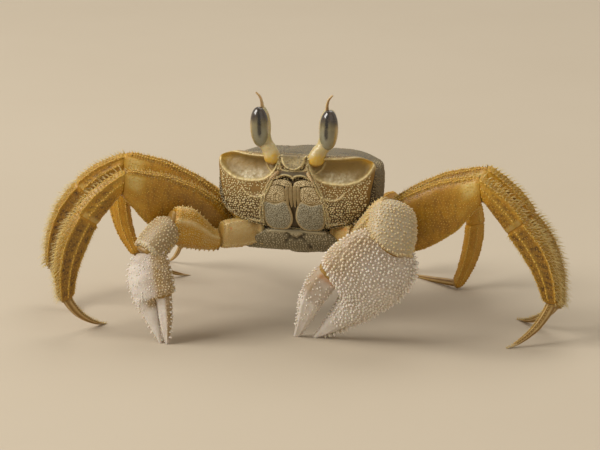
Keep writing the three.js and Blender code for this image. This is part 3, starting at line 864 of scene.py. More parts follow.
@dataclass
class Bench:
    """Where shells become pieces of the model, in its own place and finish."""

    shift: Array
    effects: Effects = field(default_factory=Effects)
    materials: dict[str, bpy.types.Material] = field(default_factory=dict)

    @staticmethod
    def over_the_frame(cornea: Place) -> "Bench":
        """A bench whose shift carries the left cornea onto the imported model's.

        Args:
            cornea: The left cornea's place in the crab's own frame.

        Returns:
            The bench.
        """
        boxes = map(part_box, ("eye_left", "eye_right"))
        left, right = ((np.array(low) + np.array(high)) / 2 / MM for low, high in boxes)
        return Bench(np.array([(left[0] + right[0]) / 2, left[1] - cornea[1], 0.0]))

    def metres(self, points: Array) -> Array:
        """Places of the crab's own frame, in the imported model's frame in metres."""
        return (np.asarray(points) + self.shift) * MM

    def attach(self, name: str, shell: Shell, finish: Finish, *nodes: str) -> None:
        """Make a shell into a piece of the model.

        Args:
            name: The piece's name.
            shell: Its points and faces.
            finish: What it is finished with.
            nodes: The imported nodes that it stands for.
        """
        mesh = bpy.data.meshes.new(name)
        corners = np.concatenate([faces.ravel() for faces in shell.faces])
        sizes = np.concatenate([np.full(len(faces), faces.shape[1]) for faces in shell.faces])
        mesh.vertices.add(len(shell.points))
        mesh.vertices.foreach_set("co", self.metres(shell.points).astype(np.float32).ravel())
        mesh.loops.add(len(corners))
        mesh.loops.foreach_set("vertex_index", corners.astype(np.int32))
        mesh.polygons.add(len(sizes))
        mesh.polygons.foreach_set("loop_start", np.concatenate([[0], np.cumsum(sizes)[:-1]]).astype(np.int32))
        mesh.polygons.foreach_set("use_smooth", np.ones(len(sizes), bool))
        mesh.update(calc_edges=True)
        for tint, values in shell.tints.items():
            mesh.attributes.new(tint, "FLOAT", "POINT").data.foreach_set("value", values.astype(np.float32))
        if shell.root_map is not None:
            layer = mesh.uv_layers.new(name="OFBake")
            layer.data.foreach_set("uv", shell.root_map[corners].astype(np.float32).ravel())
        if finish.name not in self.materials:
            self.materials[finish.name] = finish.material(self.effects)
        mesh.materials.append(self.materials[finish.name])
        piece = bpy.data.objects.new(name, mesh)
        bpy.context.scene.collection.objects.link(piece)
        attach(piece, "root")
        if nodes:
            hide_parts(*nodes)
        LOG.info("%s: %d triangles", name, np.sum(sizes - 2))


# ---------------------------------------------------------------- body


@dataclass(frozen=True)
class BodyFrame:
    """The body's own frame, tilted nose up."""

    centre: Place = (0.0, -1.5, 31.0)
    pitch: float = -10.0

    def world(self, x: Array, y: Array, z: Array) -> Array:
        """Places given in the body's frame, in the crab's frame.

        Args:
            x: Places across the body.
            y: Places along it.
            z: Places up it.

        Returns:
            The places in the crab's frame.
        """
        turn = math.radians(self.pitch)
        x, y, z = np.broadcast_arrays(np.asarray(x, float), y, z)
        forward = y * math.cos(turn) - z * math.sin(turn)
        upward = y * math.sin(turn) + z * math.cos(turn)
        return np.stack([x, forward, upward], -1) + np.array(self.centre)


@dataclass(frozen=True)
class FaceLine:
    """A raised or sunken line on the face, given on the left side and repeated on the right."""

    points: tuple[tuple[float, float], ...]
    height: float
    width: float
    shade: float = 0.9

    def nearness(self, side: Array, z: Array, count: int = 40) -> Array:
        """How close places on the face are to the line, from 0 to 1.

        Args:
            side: Their distances from the body's middle.
            z: Their heights.
            count: Points along the line.

        Returns:
            One value for each place.
        """
        gap = line_distance(side, z, smooth_line(np.array(self.points), count))
        return np.exp(-((gap / self.width) ** 2))


@dataclass(frozen=True)
class Face:
    """The front of the shell: its bulge, the hollows for the eyes, the rostrum and the mouth's frame."""

    front: float = 18.2
    curve: float = 3.2
    half_width: float = 19.3
    chin_level: float = 4.0
    chin_retreat: float = 5.0
    chin_depth: float = 11.0
    chin_power: float = 1.6
    orbit_x: float = 11.4
    orbit_reach: float = 7.7
    orbit_low: float = 4.3
    orbit_high: float = 10.5
    orbit_depth: float = 2.5
    rostrum_width: float = 2.85
    rostrum_level: float = 9.9
    rostrum_drop: float = 2.6
    rostrum_rise: float = 0.8
    mouth_depth: float = 1.0
    lines: tuple[FaceLine, ...] = (
        FaceLine(((3.1, 9.6), (3.6, 7.6), (4.7, 5.3), (6.0, 2.6), (7.0, 0.2),
                  (7.6, -2.8), (7.8, -6.4)), 0.36, 0.3, 0.75),
        FaceLine(((4.0, 9.0), (4.4, 7.2), (5.6, 4.6), (6.9, 1.9), (7.7, -0.4),
                  (8.3, -3.2), (8.3, -5.6)), 0.34, 0.26, 0.7),
        FaceLine(((5.0, 4.2), (5.8, 2.6), (6.8, 1.2), (8.2, 0.45), (9.8, 0.3),
                  (11.3, 0.9), (12.3, 1.9)), 0.32, 0.22),
        FaceLine(((8.2, -5.9), (11.8, -5.5), (14.4, -4.75), (16.4, -3.7)), 0.4, 0.3),
        FaceLine(((3.3, 10.9), (3.7, 9.9), (3.5, 8.9), (2.9, 7.8)), 0.34, 0.2),
        FaceLine(((4.9, 10.8), (4.3, 9.9), (4.1, 9.1)), 0.3, 0.2),
        FaceLine(((7.2, 9.3), (6.7, 7.9), (5.6, 6.8), (4.8, 6.3)), 0.3, 0.22, 0.5),
        FaceLine(((0.0, 7.05), (1.8, 7.15), (3.5, 7.5)), 0.22, 0.18),
        FaceLine(((0.0, 5.25), (0.5, 5.75), (1.9, 6.05), (3.3, 5.7), (4.0, 4.9)), 0.34, 0.2),
    )
    sutures: tuple[FaceLine, ...] = (
        FaceLine(((3.55, 9.3), (4.0, 7.3), (5.15, 4.9), (6.5, 2.2),
                  (7.4, -0.1), (7.95, -3.0), (8.05, -6.2)), -0.35, 0.16),
        FaceLine(((0.5, 5.0), (1.9, 5.45), (3.2, 4.95)), -0.9, 0.35),
        FaceLine(((3.0, 10.9), (3.25, 9.6), (3.0, 8.6), (2.2, 7.45), (0.0, 6.95)), -0.45, 0.22),
    )

    def level(self, x: Array, z: Array) -> Array:
        """How far forward the smooth face lies, as the body's y.

        Args:
            x: Places across the body.
            z: Places up it.

        Returns:
            Its y at each place.
        """
        across = self.curve * (x / self.half_width) ** 2
        below = np.maximum(0, self.chin_level - z) / self.chin_depth
        return -self.front + across + self.chin_retreat * below**self.chin_power

    def orbit_edges(self, share: Array) -> tuple[Array, Array]:
        """Lower and upper edge of an eye's hollow.

        Args:
            share: Place across it, from -1 at the nose to 1 at the outer corner.

        Returns:
            The two heights.
        """
        power = np.where(share > 0, 2.2, 3.2)
        sweep = np.clip(1 - np.abs(share) ** power, 0, 1) ** 0.6
        corner = self.orbit_high - 0.5
        low = corner - (corner - self.orbit_low) * sweep
        high = self.orbit_high - 0.2 + 0.6 * hump(share, 0.5, 0.36) - 0.35 * np.clip(-share, 0, 1) ** 2
        return low, np.maximum(high, low)

    def orbit_rim(self) -> Array:
        """The closed edge of an eye's hollow on the left side.

        Returns:
            Points round the edge.
        """
        share = np.linspace(-1, 1, 50)
        low, high = self.orbit_edges(share)
        across = self.orbit_x + share * self.orbit_reach
        lower, upper = (np.stack([across, edge], 1) for edge in (low, high))
        return np.vstack([lower, upper[::-1], lower[:1]])

    def rostrum_inset(self, x: Array, z: Array) -> Array:
        """How far inside the rostrum's outline a place lies.

        Args:
            x: Places across the body.
            z: Places up it.

        Returns:
            Distances, negative outside it.
        """
        below = np.maximum(0, self.rostrum_level - z) / self.rostrum_drop
        flare = 1 + 0.16 * ramp(self.rostrum_level, self.rostrum_level + 1.2, z)
        radius = np.sqrt((x / (self.rostrum_width * flare)) ** 2 + below**2)
        return (1 - radius) * self.rostrum_width

    def mouth_frame(self, z: Array) -> Array:
        """Half width of the mouth's frame at a height."""
        return np.interp(z, [-6.4, -2.8, 0.2, 2.6, 5.3], [7.8, 7.6, 7.0, 6.0, 4.7])

    def relief(self, x: Array, z: Array) -> tuple[Array, dict[str, Array]]:
        """The face's relief over its smooth bulge.

        Args:
            x: Places across the body.
            z: Places up the body.

        Returns:
            How far each place stands forward, and values for the finish.
        """
        side = np.abs(x)
        share = (side - self.orbit_x) / self.orbit_reach
        low, high = self.orbit_edges(share)
        climb = np.clip((z - low) / np.maximum(high - low, 1e-3), 0, 1)
        inside = (np.abs(share) < 1) & (z > low) & (z < high)
        ends = np.sqrt(np.clip(1 - np.abs(share) ** 6, 0, 1))
        bowl = climb**0.65 * np.sqrt(np.clip(1 - climb**12, 0, 1)) * ends
        height = np.where(inside, -self.orbit_depth * bowl, 0.0)
        floor_lumps = flat_noise(x, z, 1.3, 3)
        fine_lumps = flat_noise(x, z, 0.42, 7)
        height += np.where(inside, (0.2 * floor_lumps + 0.07 * fine_lumps) * (1 - 0.8 * climb), 0.0)
        rim_gap = line_distance(side, z, self.orbit_rim())
        beads = 0.85 + 0.3 * flat_noise(x, z, 0.45, 5)
        rim = hump(rim_gap, 0.0, 0.36)
        height += 0.5 * rim * beads
        inset = self.rostrum_inset(x, z)
        plate = ramp(-0.15, 0.3, inset)
        rostrum_rim = hump(inset, 0.2, 0.2)
        height = height * (1 - plate) + plate * self.rostrum_rise
        height += 0.22 * rostrum_rim - 0.3 * ramp(0.5, 2.2, inset)
        crest = np.maximum(rim * beads, rostrum_rim)
        hollow = np.zeros_like(x)
        open_face = 1 - ramp(-0.3, 0.0, inset)
        for line in self.lines:
            near = line.nearness(side, z)
            height += line.height * near * open_face
            crest = np.maximum(crest, near * open_face * line.shade)
        for line in self.sutures:
            near = line.nearness(side, z)
            height += line.height * near * open_face
            hollow = np.maximum(hollow, near * open_face)
        mouth = ramp(self.mouth_frame(z), self.mouth_frame(z) - 0.5, side) * ramp(5.1, 4.7, z)
        height -= self.mouth_depth * mouth
        hollow = np.maximum(hollow, mouth)
        bar = ramp(3.9, 3.5, side) * ramp(5.7, 6.0, z) * ramp(7.2, 6.9, z)
        height += 0.2 * bar
        cheek = hump(side, 12.5, 4.6) * hump(z, -1.6, 3.4)
        height += 0.75 * cheek
        under_eye = ramp(0.3, 1.6, z) * hump(side, 8.8, 3.0) * ramp(5.0, 3.6, z)
        height -= 0.3 * under_eye
        tints = {
            # yellow-brown inside the eye's hollow, fullest under the upper rim, where it is painted shadow
            "orbit_roof": inside * (0.7 + 0.3 * ramp(0.35, 0.62, climb)),
            "orbit_floor": inside * ramp(0.62, 0.2, climb) * hump(share, -0.12, 0.5)
            * np.clip(0.55 + 0.3 * floor_lumps + 0.35 * fine_lumps, 0, 1),
            "amber": hump(side, 17.6, 1.7) * hump(z, 10.0, 0.8) + 0.5 * inside * hump(share, 0.92, 0.1)
            + 0.55 * inside * ramp(0.8, 0.97, climb) * ramp(-0.1, 0.5, share),
            "orange": 0.6 * hump(side, 2.9, 0.5) * hump(z, 7.7, 0.6),
            "crest": np.clip(crest + 0.4 * plate * hump(z, 9.2, 1.6), 0, 1),
            # painted shade in the sunken sutures and the mouth's recess
            "hollow": np.clip(hollow, 0, 1) * (1 - ramp(0.0, 0.3, inset)) * (1 - 0.65 * mouth),
            "grey": ramp(0.1, 0.6, inset) * 0.35 + bar * 0.8,
            "warm": ramp(-2.0, 4.0, z) * ramp(2.0, 8.0, side) * (1 - inside),
            # painted shade, darker towards the bottom of the face
            "shade": ramp(-1.0, -6.0, z) * 0.5,
            "bare": np.clip(inside + ramp(0.45, 0.6, rim) + 0.3 * plate + mouth + bar
                            + 0.4 * under_eye, 0, 1),
            "tone": 0.9 * plate,
        }
        return height, tints


@dataclass(frozen=True)
class Carapace:
    """The boxy shell over the body, with its granules."""

    body: BodyFrame = BodyFrame()
    face: Face = Face()
    stations: Table = (
        (-12.6, 19.3, 10.7, -7.2), (-9.0, 19.5, 10.95, -7.2), (-4.0, 19.4, 11.35, -7.2),
        (2.0, 18.8, 11.6, -7.2), (7.5, 17.0, 11.2, -7.2), (12.0, 14.4, 10.0, -6.8),
        (15.4, 11.6, 8.1, -5.6), (17.0, 9.6, 6.4, -3.6), (17.6, 7.6, 4.6, -2.0),
    )
    roof_form: Table = (
        (-12.6, 7.0, 0.5), (-6.0, 8.0, 2.0), (6.0, 6.0, 1.8), (12.0, 3.4, 0.8), (17.6, 2.8, 0.0),
    )
    widest: float = 3.0
    face_power: float = 7.0
    lower_power: float = 2.6
    front_roof: float = 10.9
    front_belly: float = -7.2
    jowl: float = 0.055
    corner: float = 0.8
    columns: int = 340
    tube_rows: int = 96
    front_rows: int = 8
    face_rows: int = 104
    face_middle: float = 0.03
    face_spacing: float = 0.6
    back_spacing: float = 0.62

    def outline(self, half_width: float, roof: float, belly: float, power: float) -> tuple[Array, Array]:
        """Cross outline of the shell, evenly spaced in each quarter.

        Args:
            half_width: Half its width.
            roof: Height of its top.
            belly: Height of its underside.
            power: Squareness of its upper half.

        Returns:
            Its x and z.
        """
        dense = np.linspace(0, math.pi / 2, 300)
        share = np.linspace(0, 1, self.columns // 4, endpoint=False)
        quarters_x, quarters_z = [], []
        for quarter in range(4):
            angle = dense + quarter * math.pi / 2
            above = quarter < 2
            squareness = power if above else self.lower_power
            height = roof - self.widest if above else self.widest - belly
            x = soft_power(np.cos(angle), 2 / squareness) * half_width
            z = self.widest + soft_power(np.sin(angle), 2 / squareness) * height
            reach = np.concatenate([[0], np.cumsum(np.hypot(np.diff(x), np.diff(z)))])
            quarters_x.append(np.interp(share * reach[-1], reach, x))
            quarters_z.append(np.interp(share * reach[-1], reach, z))
        return np.concatenate(quarters_x), np.concatenate(quarters_z)

    def front_outline(self) -> tuple[Array, Array]:
        """Outline of the face, with narrow jowls and a sharp outer corner beside each eye.

        Returns:
            Its x and z.
        """
        x, z = self.outline(self.face.half_width, self.front_roof, self.front_belly, self.face_power)
        x = x * (1 - self.jowl * ramp(9.0, 1.0, z))
        tooth = hump(np.abs(x), 19.2, 1.4) * hump(z, 10.0, 1.3)
        brow = hump(np.abs(x), 14.8, 3.2) * ramp(8.0, 10.0, z)
        return x + np.sign(x) * 0.45 * tooth, z + 0.2 * tooth + 0.42 * brow

    def back(self) -> tuple[Array, Array, Array, dict[str, Array]]:
        """The roof, flanks and belly from the tail to the front edge.

        Returns:
            x, y and z in the body's frame, and values for the finish.
        """
        y = np.linspace(self.stations[-1][0], self.stations[0][0], self.tube_rows)
        forms = follow(self.roof_form, y)
        rings = [self.outline(*sizes, form[0]) for sizes, form in zip(follow(self.stations, y), forms)]
        x, z = (np.stack(part) for part in zip(*rings))
        eave = np.abs(x) / np.abs(x).max(axis=1, keepdims=True)
        z = z - forms[:, 1:] * eave**2 * ramp(self.widest, 9.0, z)
        y = all_round(y, self.columns)
        front_x, front_z = self.front_outline()
        front_y = self.face.level(front_x, front_z) + self.corner
        for share in np.linspace(0, 1, self.front_rows + 1)[1:]:
            x = np.vstack([x, x[-1] + (front_x - x[-1]) * share])
            z = np.vstack([z, z[-1] + (front_z - z[-1]) * share])
            y = np.vstack([y, y[self.tube_rows - 1] * (1 - share) + front_y * share])
        return x, y, z, self.back_tints(x, y, z)

    def back_tints(self, x: Array, y: Array, z: Array) -> dict[str, Array]:
        """Values for the finish over the roof and flanks, with painted shade on the flanks and the underside.

        Args:
            x: Places across the body.
            y: Places along it.
            z: Places up it.

        Returns:
            The values by name.
        """
        top = ramp(7.0, 9.5, z) * (0.15 + 0.85 * ramp(-15.0, -10.5, y))
        flank = ramp(14.0, 18.0, np.abs(x)) * ramp(9.5, 7.0, z)
        # painted shade: darker over the flanks and towards the underside
        return {"grey": np.clip(top + 0.2 * flank, 0, 1), "shade": 0.95 * flank + 0.3 * ramp(-2, -6, z)}

    def roof_relief(self, x: Array, y: Array, z: Array) -> tuple[Array, Array, Array]:
        """Swellings, grooves and edges over the roof and flanks.

        Args:
            x: Places across the body.
            y: Places along the body.
            z: Places up the body.

        Returns:
            The height, and how much of a ridge and of a groove each place is.
        """
        side = np.abs(x)
        roof = ramp(6.5, 9.5, z)
        swell = 0.5 * hump(side, 11.5, 5.0) * hump(y, 1.0, 8.0)
        swell = swell + 0.45 * hump(side, 0, 4.0) * hump(y, 6.0, 4.5)
        swell = swell + 0.35 * hump(side, 5.0, 3.0) * hump(y, -9.0, 4.0)
        bend = 4.2 + 1.2 * hump(y, 2.0, 3.0)
        groove = hump(side, bend, 0.55) * hump(y, 2.5, 6.5)
        groove = np.maximum(groove, hump(y, 3.2 - 0.05 * side**1.5, 0.6) * ramp(9.0, 6.0, side) * 0.8)
        groove = np.maximum(groove, hump(y, -7.5 + 0.18 * side, 0.5) * hump(side, 10.0, 5.0) * 0.6)
        hem = np.clip(1 - np.abs(z - 8.6) / 1.2, 0, 1) * ramp(0.80, 0.9, side / 19.4) * ramp(12.0, 6.0, y)
        keel = hump(z, -3.6 - 0.15 * (y + 12), 0.45) * ramp(14.5, 16.5, side) * ramp(8.0, 2.0, y)
        ridge = np.maximum(hem * 0.8, keel * 0.7)
        height = roof * (swell - 0.32 * groove) + 0.4 * ridge
        return height, ridge, groove * roof

    def surface(self) -> Surface:
        """The whole shell as one surface, from the tail to the middle of the face.

        Returns:
            The surface.
        """
        x, y, z, tints = self.back()
        lift, ridge, groove = self.roof_relief(x, y, z)
        back = Surface(self.body.world(x, y, z))
        fade = np.ones(len(x))
        fade[self.tube_rows:] = np.linspace(1, 0, self.front_rows)
        grid = back.raised(lift * fade[:, None]).grid
        scale = 1 - np.linspace(0, 1, self.face_rows + 1)[1:, None] ** 1.15
        scale = scale * (1 - self.face_middle) + self.face_middle
        front_x, front_z = self.front_outline()
        face_x = front_x[None] * scale
        face_z = self.widest + (front_z[None] - self.widest) * scale
        height, face_tints = self.face.relief(face_x, face_z)
        edge = ramp(0.955, 1.0, np.broadcast_to(scale, face_x.shape)) ** 1.5
        face_y = self.face.level(face_x, face_z) + self.corner * edge - height * (1 - edge)
        grid = np.vstack([grid, self.body.world(face_x, face_y, face_z)])
        names = sorted(set(tints) | set(face_tints))
        blank = np.zeros_like(x)
        whole = {name: np.vstack([tints.get(name, blank), face_tints.get(name, np.zeros_like(face_x))])
                 for name in names}
        whole["crest"][: len(x)] = 0.8 * ridge
        # painted shade along the roof's grooves
        whole["hollow"][: len(x)] = 0.5 * groove
        return Surface(grid, whole)

    def face_spots(self, rng: np.random.Generator, spacing: float) -> Spots:
        """Places for granules over the face, clear of its hollows and smooth plates.

        Args:
            rng: Source of unevenness.
            spacing: Distance between neighbours.

        Returns:
            The places.
        """
        across = np.arange(-19.0, 19.0, spacing)
        up = np.arange(-7.0, 10.8, spacing * 0.87)
        x, z = np.meshgrid(across, up)
        x = x + (np.arange(len(up)) % 2)[:, None] * spacing / 2
        x = (x + rng.uniform(-0.3, 0.3, x.shape) * spacing).ravel()
        z = (z.ravel() + rng.uniform(-0.3, 0.3, x.shape) * spacing)
        frame_x, frame_z = self.front_outline()
        limit = np.abs(frame_x) + 1e-6

        def quarter_edge(quarter: slice) -> Array:
            """Half width of the face at each height, from one quarter of its outline."""
            order = np.argsort(frame_z[quarter])
            return np.interp(z, frame_z[quarter][order], limit[quarter][order])

        upper, lower = slice(self.columns // 4), slice(3 * self.columns // 4, None)
        edge = np.where(z > self.widest, quarter_edge(upper), quarter_edge(lower))
        kept = np.abs(x) < edge - 0.5
        x, z = x[kept], z[kept]
        height, tints = self.face.relief(x, z)
        kept = rng.uniform(0, 1, len(x)) > tints["bare"]
        x, z, height, tone = x[kept], z[kept], height[kept], tints["tone"][kept]
        step = 0.05

        def depth(dx: float, dz: float) -> Array:
            """The face's place along the body beside each granule."""
            return self.face.level(x + dx, z + dz) - self.face.relief(x + dx, z + dz)[0]

        slope_x = (depth(step, 0) - depth(-step, 0)) / (2 * step)
        slope_z = (depth(0, step) - depth(0, -step)) / (2 * step)
        points = self.body.world(x, self.face.level(x, z) - height, z)
        origin = self.body.world(0, 0, 0)
        normals = unit(self.body.world(slope_x, -1.0, slope_z) - origin)
        turn = rng.normal(0.0, 0.6, len(x))
        along = unit(self.body.world(np.cos(turn), 0.0, np.sin(turn)) - origin)
        flat = Cell(0, 0, 1, 1).place((x + 20) / 40, (z + 8) / 20)
        return Spots(points, normals, along, flat, np.maximum(ramp(-2, -6, z) * 0.3, tone))

    def build(self, bench: Bench) -> None:
        """Make the shell and its granules.

        Args:
            bench: Where pieces are made.
        """
        rng = np.random.default_rng(SEED)
        surface = self.surface()
        bench.attach("carapace_shell", surface.shell(), SHELL, "carapace")
        spots = self.face_spots(rng, self.face_spacing)
        size = rng.uniform(0.17, 0.27, len(spots.points)) * (1 - 0.25 * spots.tone)
        size = size * (1.12 - 0.24 * ramp(27.0, 38.0, spots.points[:, 2]))
        grown = GRANULE.grown(spots, size, size, stretch=rng.uniform(0.9, 1.6, len(size)))
        bench.attach("face_granules", grown, SHELL_GRAINS)
        rows = len(surface.grid)
        back_end = (self.tube_rows + self.front_rows - 3) / rows
        back = spread(surface, self.back_spacing, rng, Cell(), (0.01, back_end), "grey")
        size = rng.uniform(0.13, 0.24, len(back.points))
        size = size * (1.3 - 0.35 * back.tone)
        grown = LOW_GRANULE.grown(back, size, size * 0.75)
        x, y = grown.points[:, 0], grown.points[:, 1]
        # painted shade that darkens the granules along the flanks
        grown.tints["dim"] = 0.75 * ramp(15.5, 18.5, np.abs(x)) * ramp(-15.5, -13.5, y)
        bench.attach("back_granules", grown, SHELL_GRAINS)


@dataclass(frozen=True)
class MouthPlate:
    """One plate of the outer mouth parts: its outline on the left side, how far it swells and its shade."""

    outline: tuple[tuple[float, float], ...]
    crown: float
    grey: float = 0.0


@dataclass(frozen=True)
class Mouth:
    """The outer mouth parts: on each side two broad plates, an arched top and two palps."""

    body: BodyFrame = BodyFrame()
    face: Face = Face()
    inset: float = 0.3
    depth: float = 1.2
    growth: float = 1.05
    spacing: float = 0.44
    rows: int = 26
    columns: int = 84
    plates: tuple[MouthPlate, ...] = (
        MouthPlate(((7.25, -0.5), (7.45, -3.0), (7.3, -5.6), (6.2, -7.2), (3.8, -7.7), (1.7, -7.1),
                    (0.5, -4.9), (0.85, -2.3), (1.9, -0.4), (4.5, -1.15)), 0.75, 1.0),
        MouthPlate(((5.2, 3.2), (6.2, 1.5), (7.0, -0.2), (4.5, -0.85), (2.1, -0.1), (1.85, 1.6),
                    (2.2, 3.0), (3.6, 3.45)), 0.6),
        MouthPlate(((5.3, 3.5), (4.7, 4.4), (3.2, 4.95), (1.4, 4.75), (0.4, 4.1), (0.5, 3.4),
                    (1.9, 3.35), (3.6, 3.75)), 0.5),
        MouthPlate(((1.05, 3.25), (1.8, 2.9), (1.85, 1.2), (1.75, -0.4), (1.2, -1.9), (0.95, 0.4)), 0.5),
        MouthPlate(((0.1, 3.25), (0.85, 3.2), (0.98, 2.0), (0.9, 0.2), (0.5, -1.7), (0.1, -0.6)), 0.45),
    )

    def plate(self, plate: MouthPlate, hand: Hand) -> Surface:
        """One plate as a crowned pillow on the face.

        Args:
            plate: The plate.
            hand: Its side.

        Returns:
            Its surface, from its back to the middle of its front.
        """
        rim = smooth_line(np.array(plate.outline), self.columns, closed=True)
        middle = rim.mean(0)
        rim = middle + (rim - middle) * self.growth
        scale = np.concatenate([[0.5, 0.9, 1.0], 1 - np.linspace(0, 0.97, self.rows) ** 1.3])[:, None]
        x = middle[0] + (rim[None, :, 0] - middle[0]) * scale
        z = middle[1] + (rim[None, :, 1] - middle[1]) * scale
        y = self.face.level(x, z) + self.inset
        front = np.arange(len(scale))[:, None] >= 2
        dome = plate.crown * (1 - np.clip(scale, 0, 1) ** 5) ** 0.6
        lumps = 0.06 * flat_noise(x, z, 0.5, 11)
        y = np.where(front, y - dome - lumps * (scale < 0.95), y + self.depth)
        size = np.broadcast_to(scale, x.shape)
        tints = {
            "grey": np.full_like(x, plate.grey) * ramp(1.0, 0.8, size),
            "crest": hump(size, 0.93, 0.05) * front * 0.7,
            # painted shade in the gaps between the plates
            "hollow": ramp(0.97, 1.0, size) * 0.8,
        }
        return Surface(self.body.world(hand.value * x, y, z), tints)

    def build(self, bench: Bench) -> None:
        """Make the plates and granules of both sides.

        Args:
            bench: Where pieces are made.
        """
        rng = np.random.default_rng(SEED + 1)
        for hand in Hand:
            surfaces = [self.plate(plate, hand) for plate in self.plates]
            name = f"maxilliped_{hand.label}"
            bench.attach(f"{name}_plates", Shell.joined([one.shell() for one in surfaces]), MOUTH, name)
            spots = Spots.gathered([
                spread(surface, self.spacing, rng, Cell(number % 3, number // 3, 3, 2), (0.28, 0.98), "grey")
                for number, surface in enumerate(surfaces[:3])
            ])
            size = rng.uniform(0.15, 0.22, len(spots.points)) * (1 - 0.15 * spots.tone)
            bench.attach(f"{name}_granules", GRANULE.grown(spots, size, size * 0.8), MOUTH_GRAINS)


@dataclass(frozen=True)
class Breastplate:
    """The plated underside of the body."""

    body: BodyFrame = BodyFrame()
    top: float = -7.5
    stations: Table = (
        (-12.7, 8.6, -8.5), (-10.6, 11.4, -11.5), (-8.2, 13.0, -13.0), (0.0, 12.8, -13.0),
        (7.0, 10.8, -12.6), (12.6, 7.6, -11.0),
    )
    corners: tuple[tuple[float, float], ...] = (
        (-0.55, 0.0), (0.0, -0.02), (0.55, 0.0), (0.72, 0.14), (0.87, 0.5), (1.0, 0.9),
        (0.8, 1.0), (0.0, 1.02), (-0.8, 1.0), (-1.0, 0.9), (-0.87, 0.5), (-0.72, 0.14),
    )
    seams: tuple[float, ...] = (-8.6, -4.6, -0.4, 3.8, 8.0)
    throat: tuple[FaceLine, ...] = (
        FaceLine(((2.8, -7.6), (1.8, -8.8), (0.0, -10.2)), -0.6, 0.24),
        FaceLine(((1.0, -9.4), (2.4, -10.4), (3.4, -12.2)), -0.5, 0.22),
        FaceLine(((0.0, -8.1), (4.0, -8.1), (7.0, -8.05)), 0.12, 0.2),
        FaceLine(((0.0, -8.9), (1.2, -8.7)), 0.3, 0.3),
    )
    columns: int = 160
    rows: int = 104
    spacing: float = 0.66

    def surface(self) -> Surface:
        """The breastplate with its seams.

        Returns:
            Its surface.
        """
        y = np.linspace(self.stations[0][0], self.stations[-1][0], self.rows)
        sizes = follow(self.stations, y)
        round_outline = smooth_line(np.array(self.corners), self.columns, closed=True)
        share = np.linspace(0, 1, self.rows)
        end = 1 - 0.25 * ramp(0.03, 0.0, share) - 0.3 * ramp(0.96, 1.0, share)
        x = round_outline[None, :, 0] * sizes[:, :1] * end[:, None]
        z = self.top + round_outline[None, :, 1] * (sizes[:, 1:] - self.top) * end[:, None]
        y = all_round(y, self.columns)
        surface = Surface(self.body.world(x, y, z))
        side = np.abs(x)
        low = ramp(-7.9, -8.6, z)
        seam = np.zeros_like(x)
        for place in self.seams:
            seam = np.maximum(seam, hump(y, place - 0.02 * side**2, 0.3) * low)
        front = ramp(-6.0, -8.5, y)
        seam = seam * (1 - front)
        crest = np.zeros_like(x)
        height = -0.4 * seam
        for line in self.throat:
            near = line.nearness(side, z, 24) * front
            height += line.height * near
            seam = np.maximum(seam, near * (line.height < 0))
            crest = np.maximum(crest, near * (line.height > 0))
        lumps = lump_noise(surface.grid, 2.2, 17)
        # painted shade in the seams and the sunken throat lines
        surface.tints = {"hollow": seam, "crest": crest * 0.8}
        return surface.raised(height + 0.12 * lumps)

    def build(self, bench: Bench) -> None:
        """Make the breastplate and its granules.

        Args:
            bench: Where pieces are made.
        """
        rng = np.random.default_rng(SEED + 2)
        surface = self.surface()
        bench.attach("sternum_plates", surface.shell(), BREAST, "sternum")
        spots = spread(surface, self.spacing, rng, Cell(), (0.0, 0.99), "hollow")
        spots = spots.kept(spots.tone < 0.25)
        size = rng.uniform(0.13, 0.21, len(spots.points))
        bench.attach("sternum_granules", GRANULE.grown(spots, size, size * 0.7), BREAST_GRAINS)


@dataclass(frozen=True)
class Abdomen:
    """The tail flap, folded down behind the shell and forward under the breastplate."""

    body: BodyFrame = BodyFrame()
    path: Table = (
        (17.2, -4.6, 7.6), (16.2, -8.2, 7.0), (13.4, -11.6, 6.4), (9.0, -13.2, 5.6),
        (3.0, -13.5, 4.6), (-2.5, -13.4, 3.4), (-6.6, -13.1, 1.4),
    )
    thickness: float = 1.2
    power: float = 5.0
    joints: tuple[float, ...] = (0.12, 0.27, 0.42, 0.57, 0.72, 0.87)
    columns: int = 90
    rows: int = 120
    spacing: float = 0.75

    def build(self, bench: Bench) -> None:
        """Make the flap, with a step at each of its segments.

        Args:
            bench: Where pieces are made.
        """
        rng = np.random.default_rng(SEED + 3)
        line = smooth_line(np.array(self.path), self.rows)
        share = np.linspace(0, 1, self.rows)
        centre = self.body.world(0, line[:, 0], line[:, 1])
        direction = unit(np.gradient(centre, axis=0))
        side = np.array([1.0, 0.0, 0.0])
        up = unit(np.cross(direction, side))
        turn = full_turn(self.columns)
        across, rise = (soft_power(part, 2 / self.power) for part in (np.cos(turn), np.sin(turn)))
        seam = sum(hump(share, joint, 0.012) for joint in self.joints)
        half = line[:, 2] * (1 - 0.05 * seam) * (1 - 0.5 * ramp(0.96, 1.0, share))
        grid = centre[:, None] + side * (across * half[:, None])[..., None]
        bulge = self.thickness / 2 * (1 - 0.35 * seam)
        grid = grid + up[:, None] * (rise * bulge[:, None])[..., None]
        lip = sum(hump(share, joint - 0.03, 0.012) for joint in self.joints)
        # painted shade in the seams between the flap's segments
        tints = {"hollow": all_round(seam, self.columns) * 0.9, "crest": all_round(lip, self.columns) * 0.5}
        surface = Surface(grid, tints)
        surface = surface.raised(0.05 * lump_noise(grid, 1.1, 19))
        bench.attach("abdomen_flap", surface.shell(), BREAST, "abdomen")
        spots = spread(surface, self.spacing, rng, Cell(), (0.01, 0.98))
        size = rng.uniform(0.1, 0.17, len(spots.points))
        bench.attach("abdomen_granules", GRANULE.grown(spots, size, size * 0.6), BREAST_GRAINS)


# ---------------------------------------------------------------- eyes and feelers


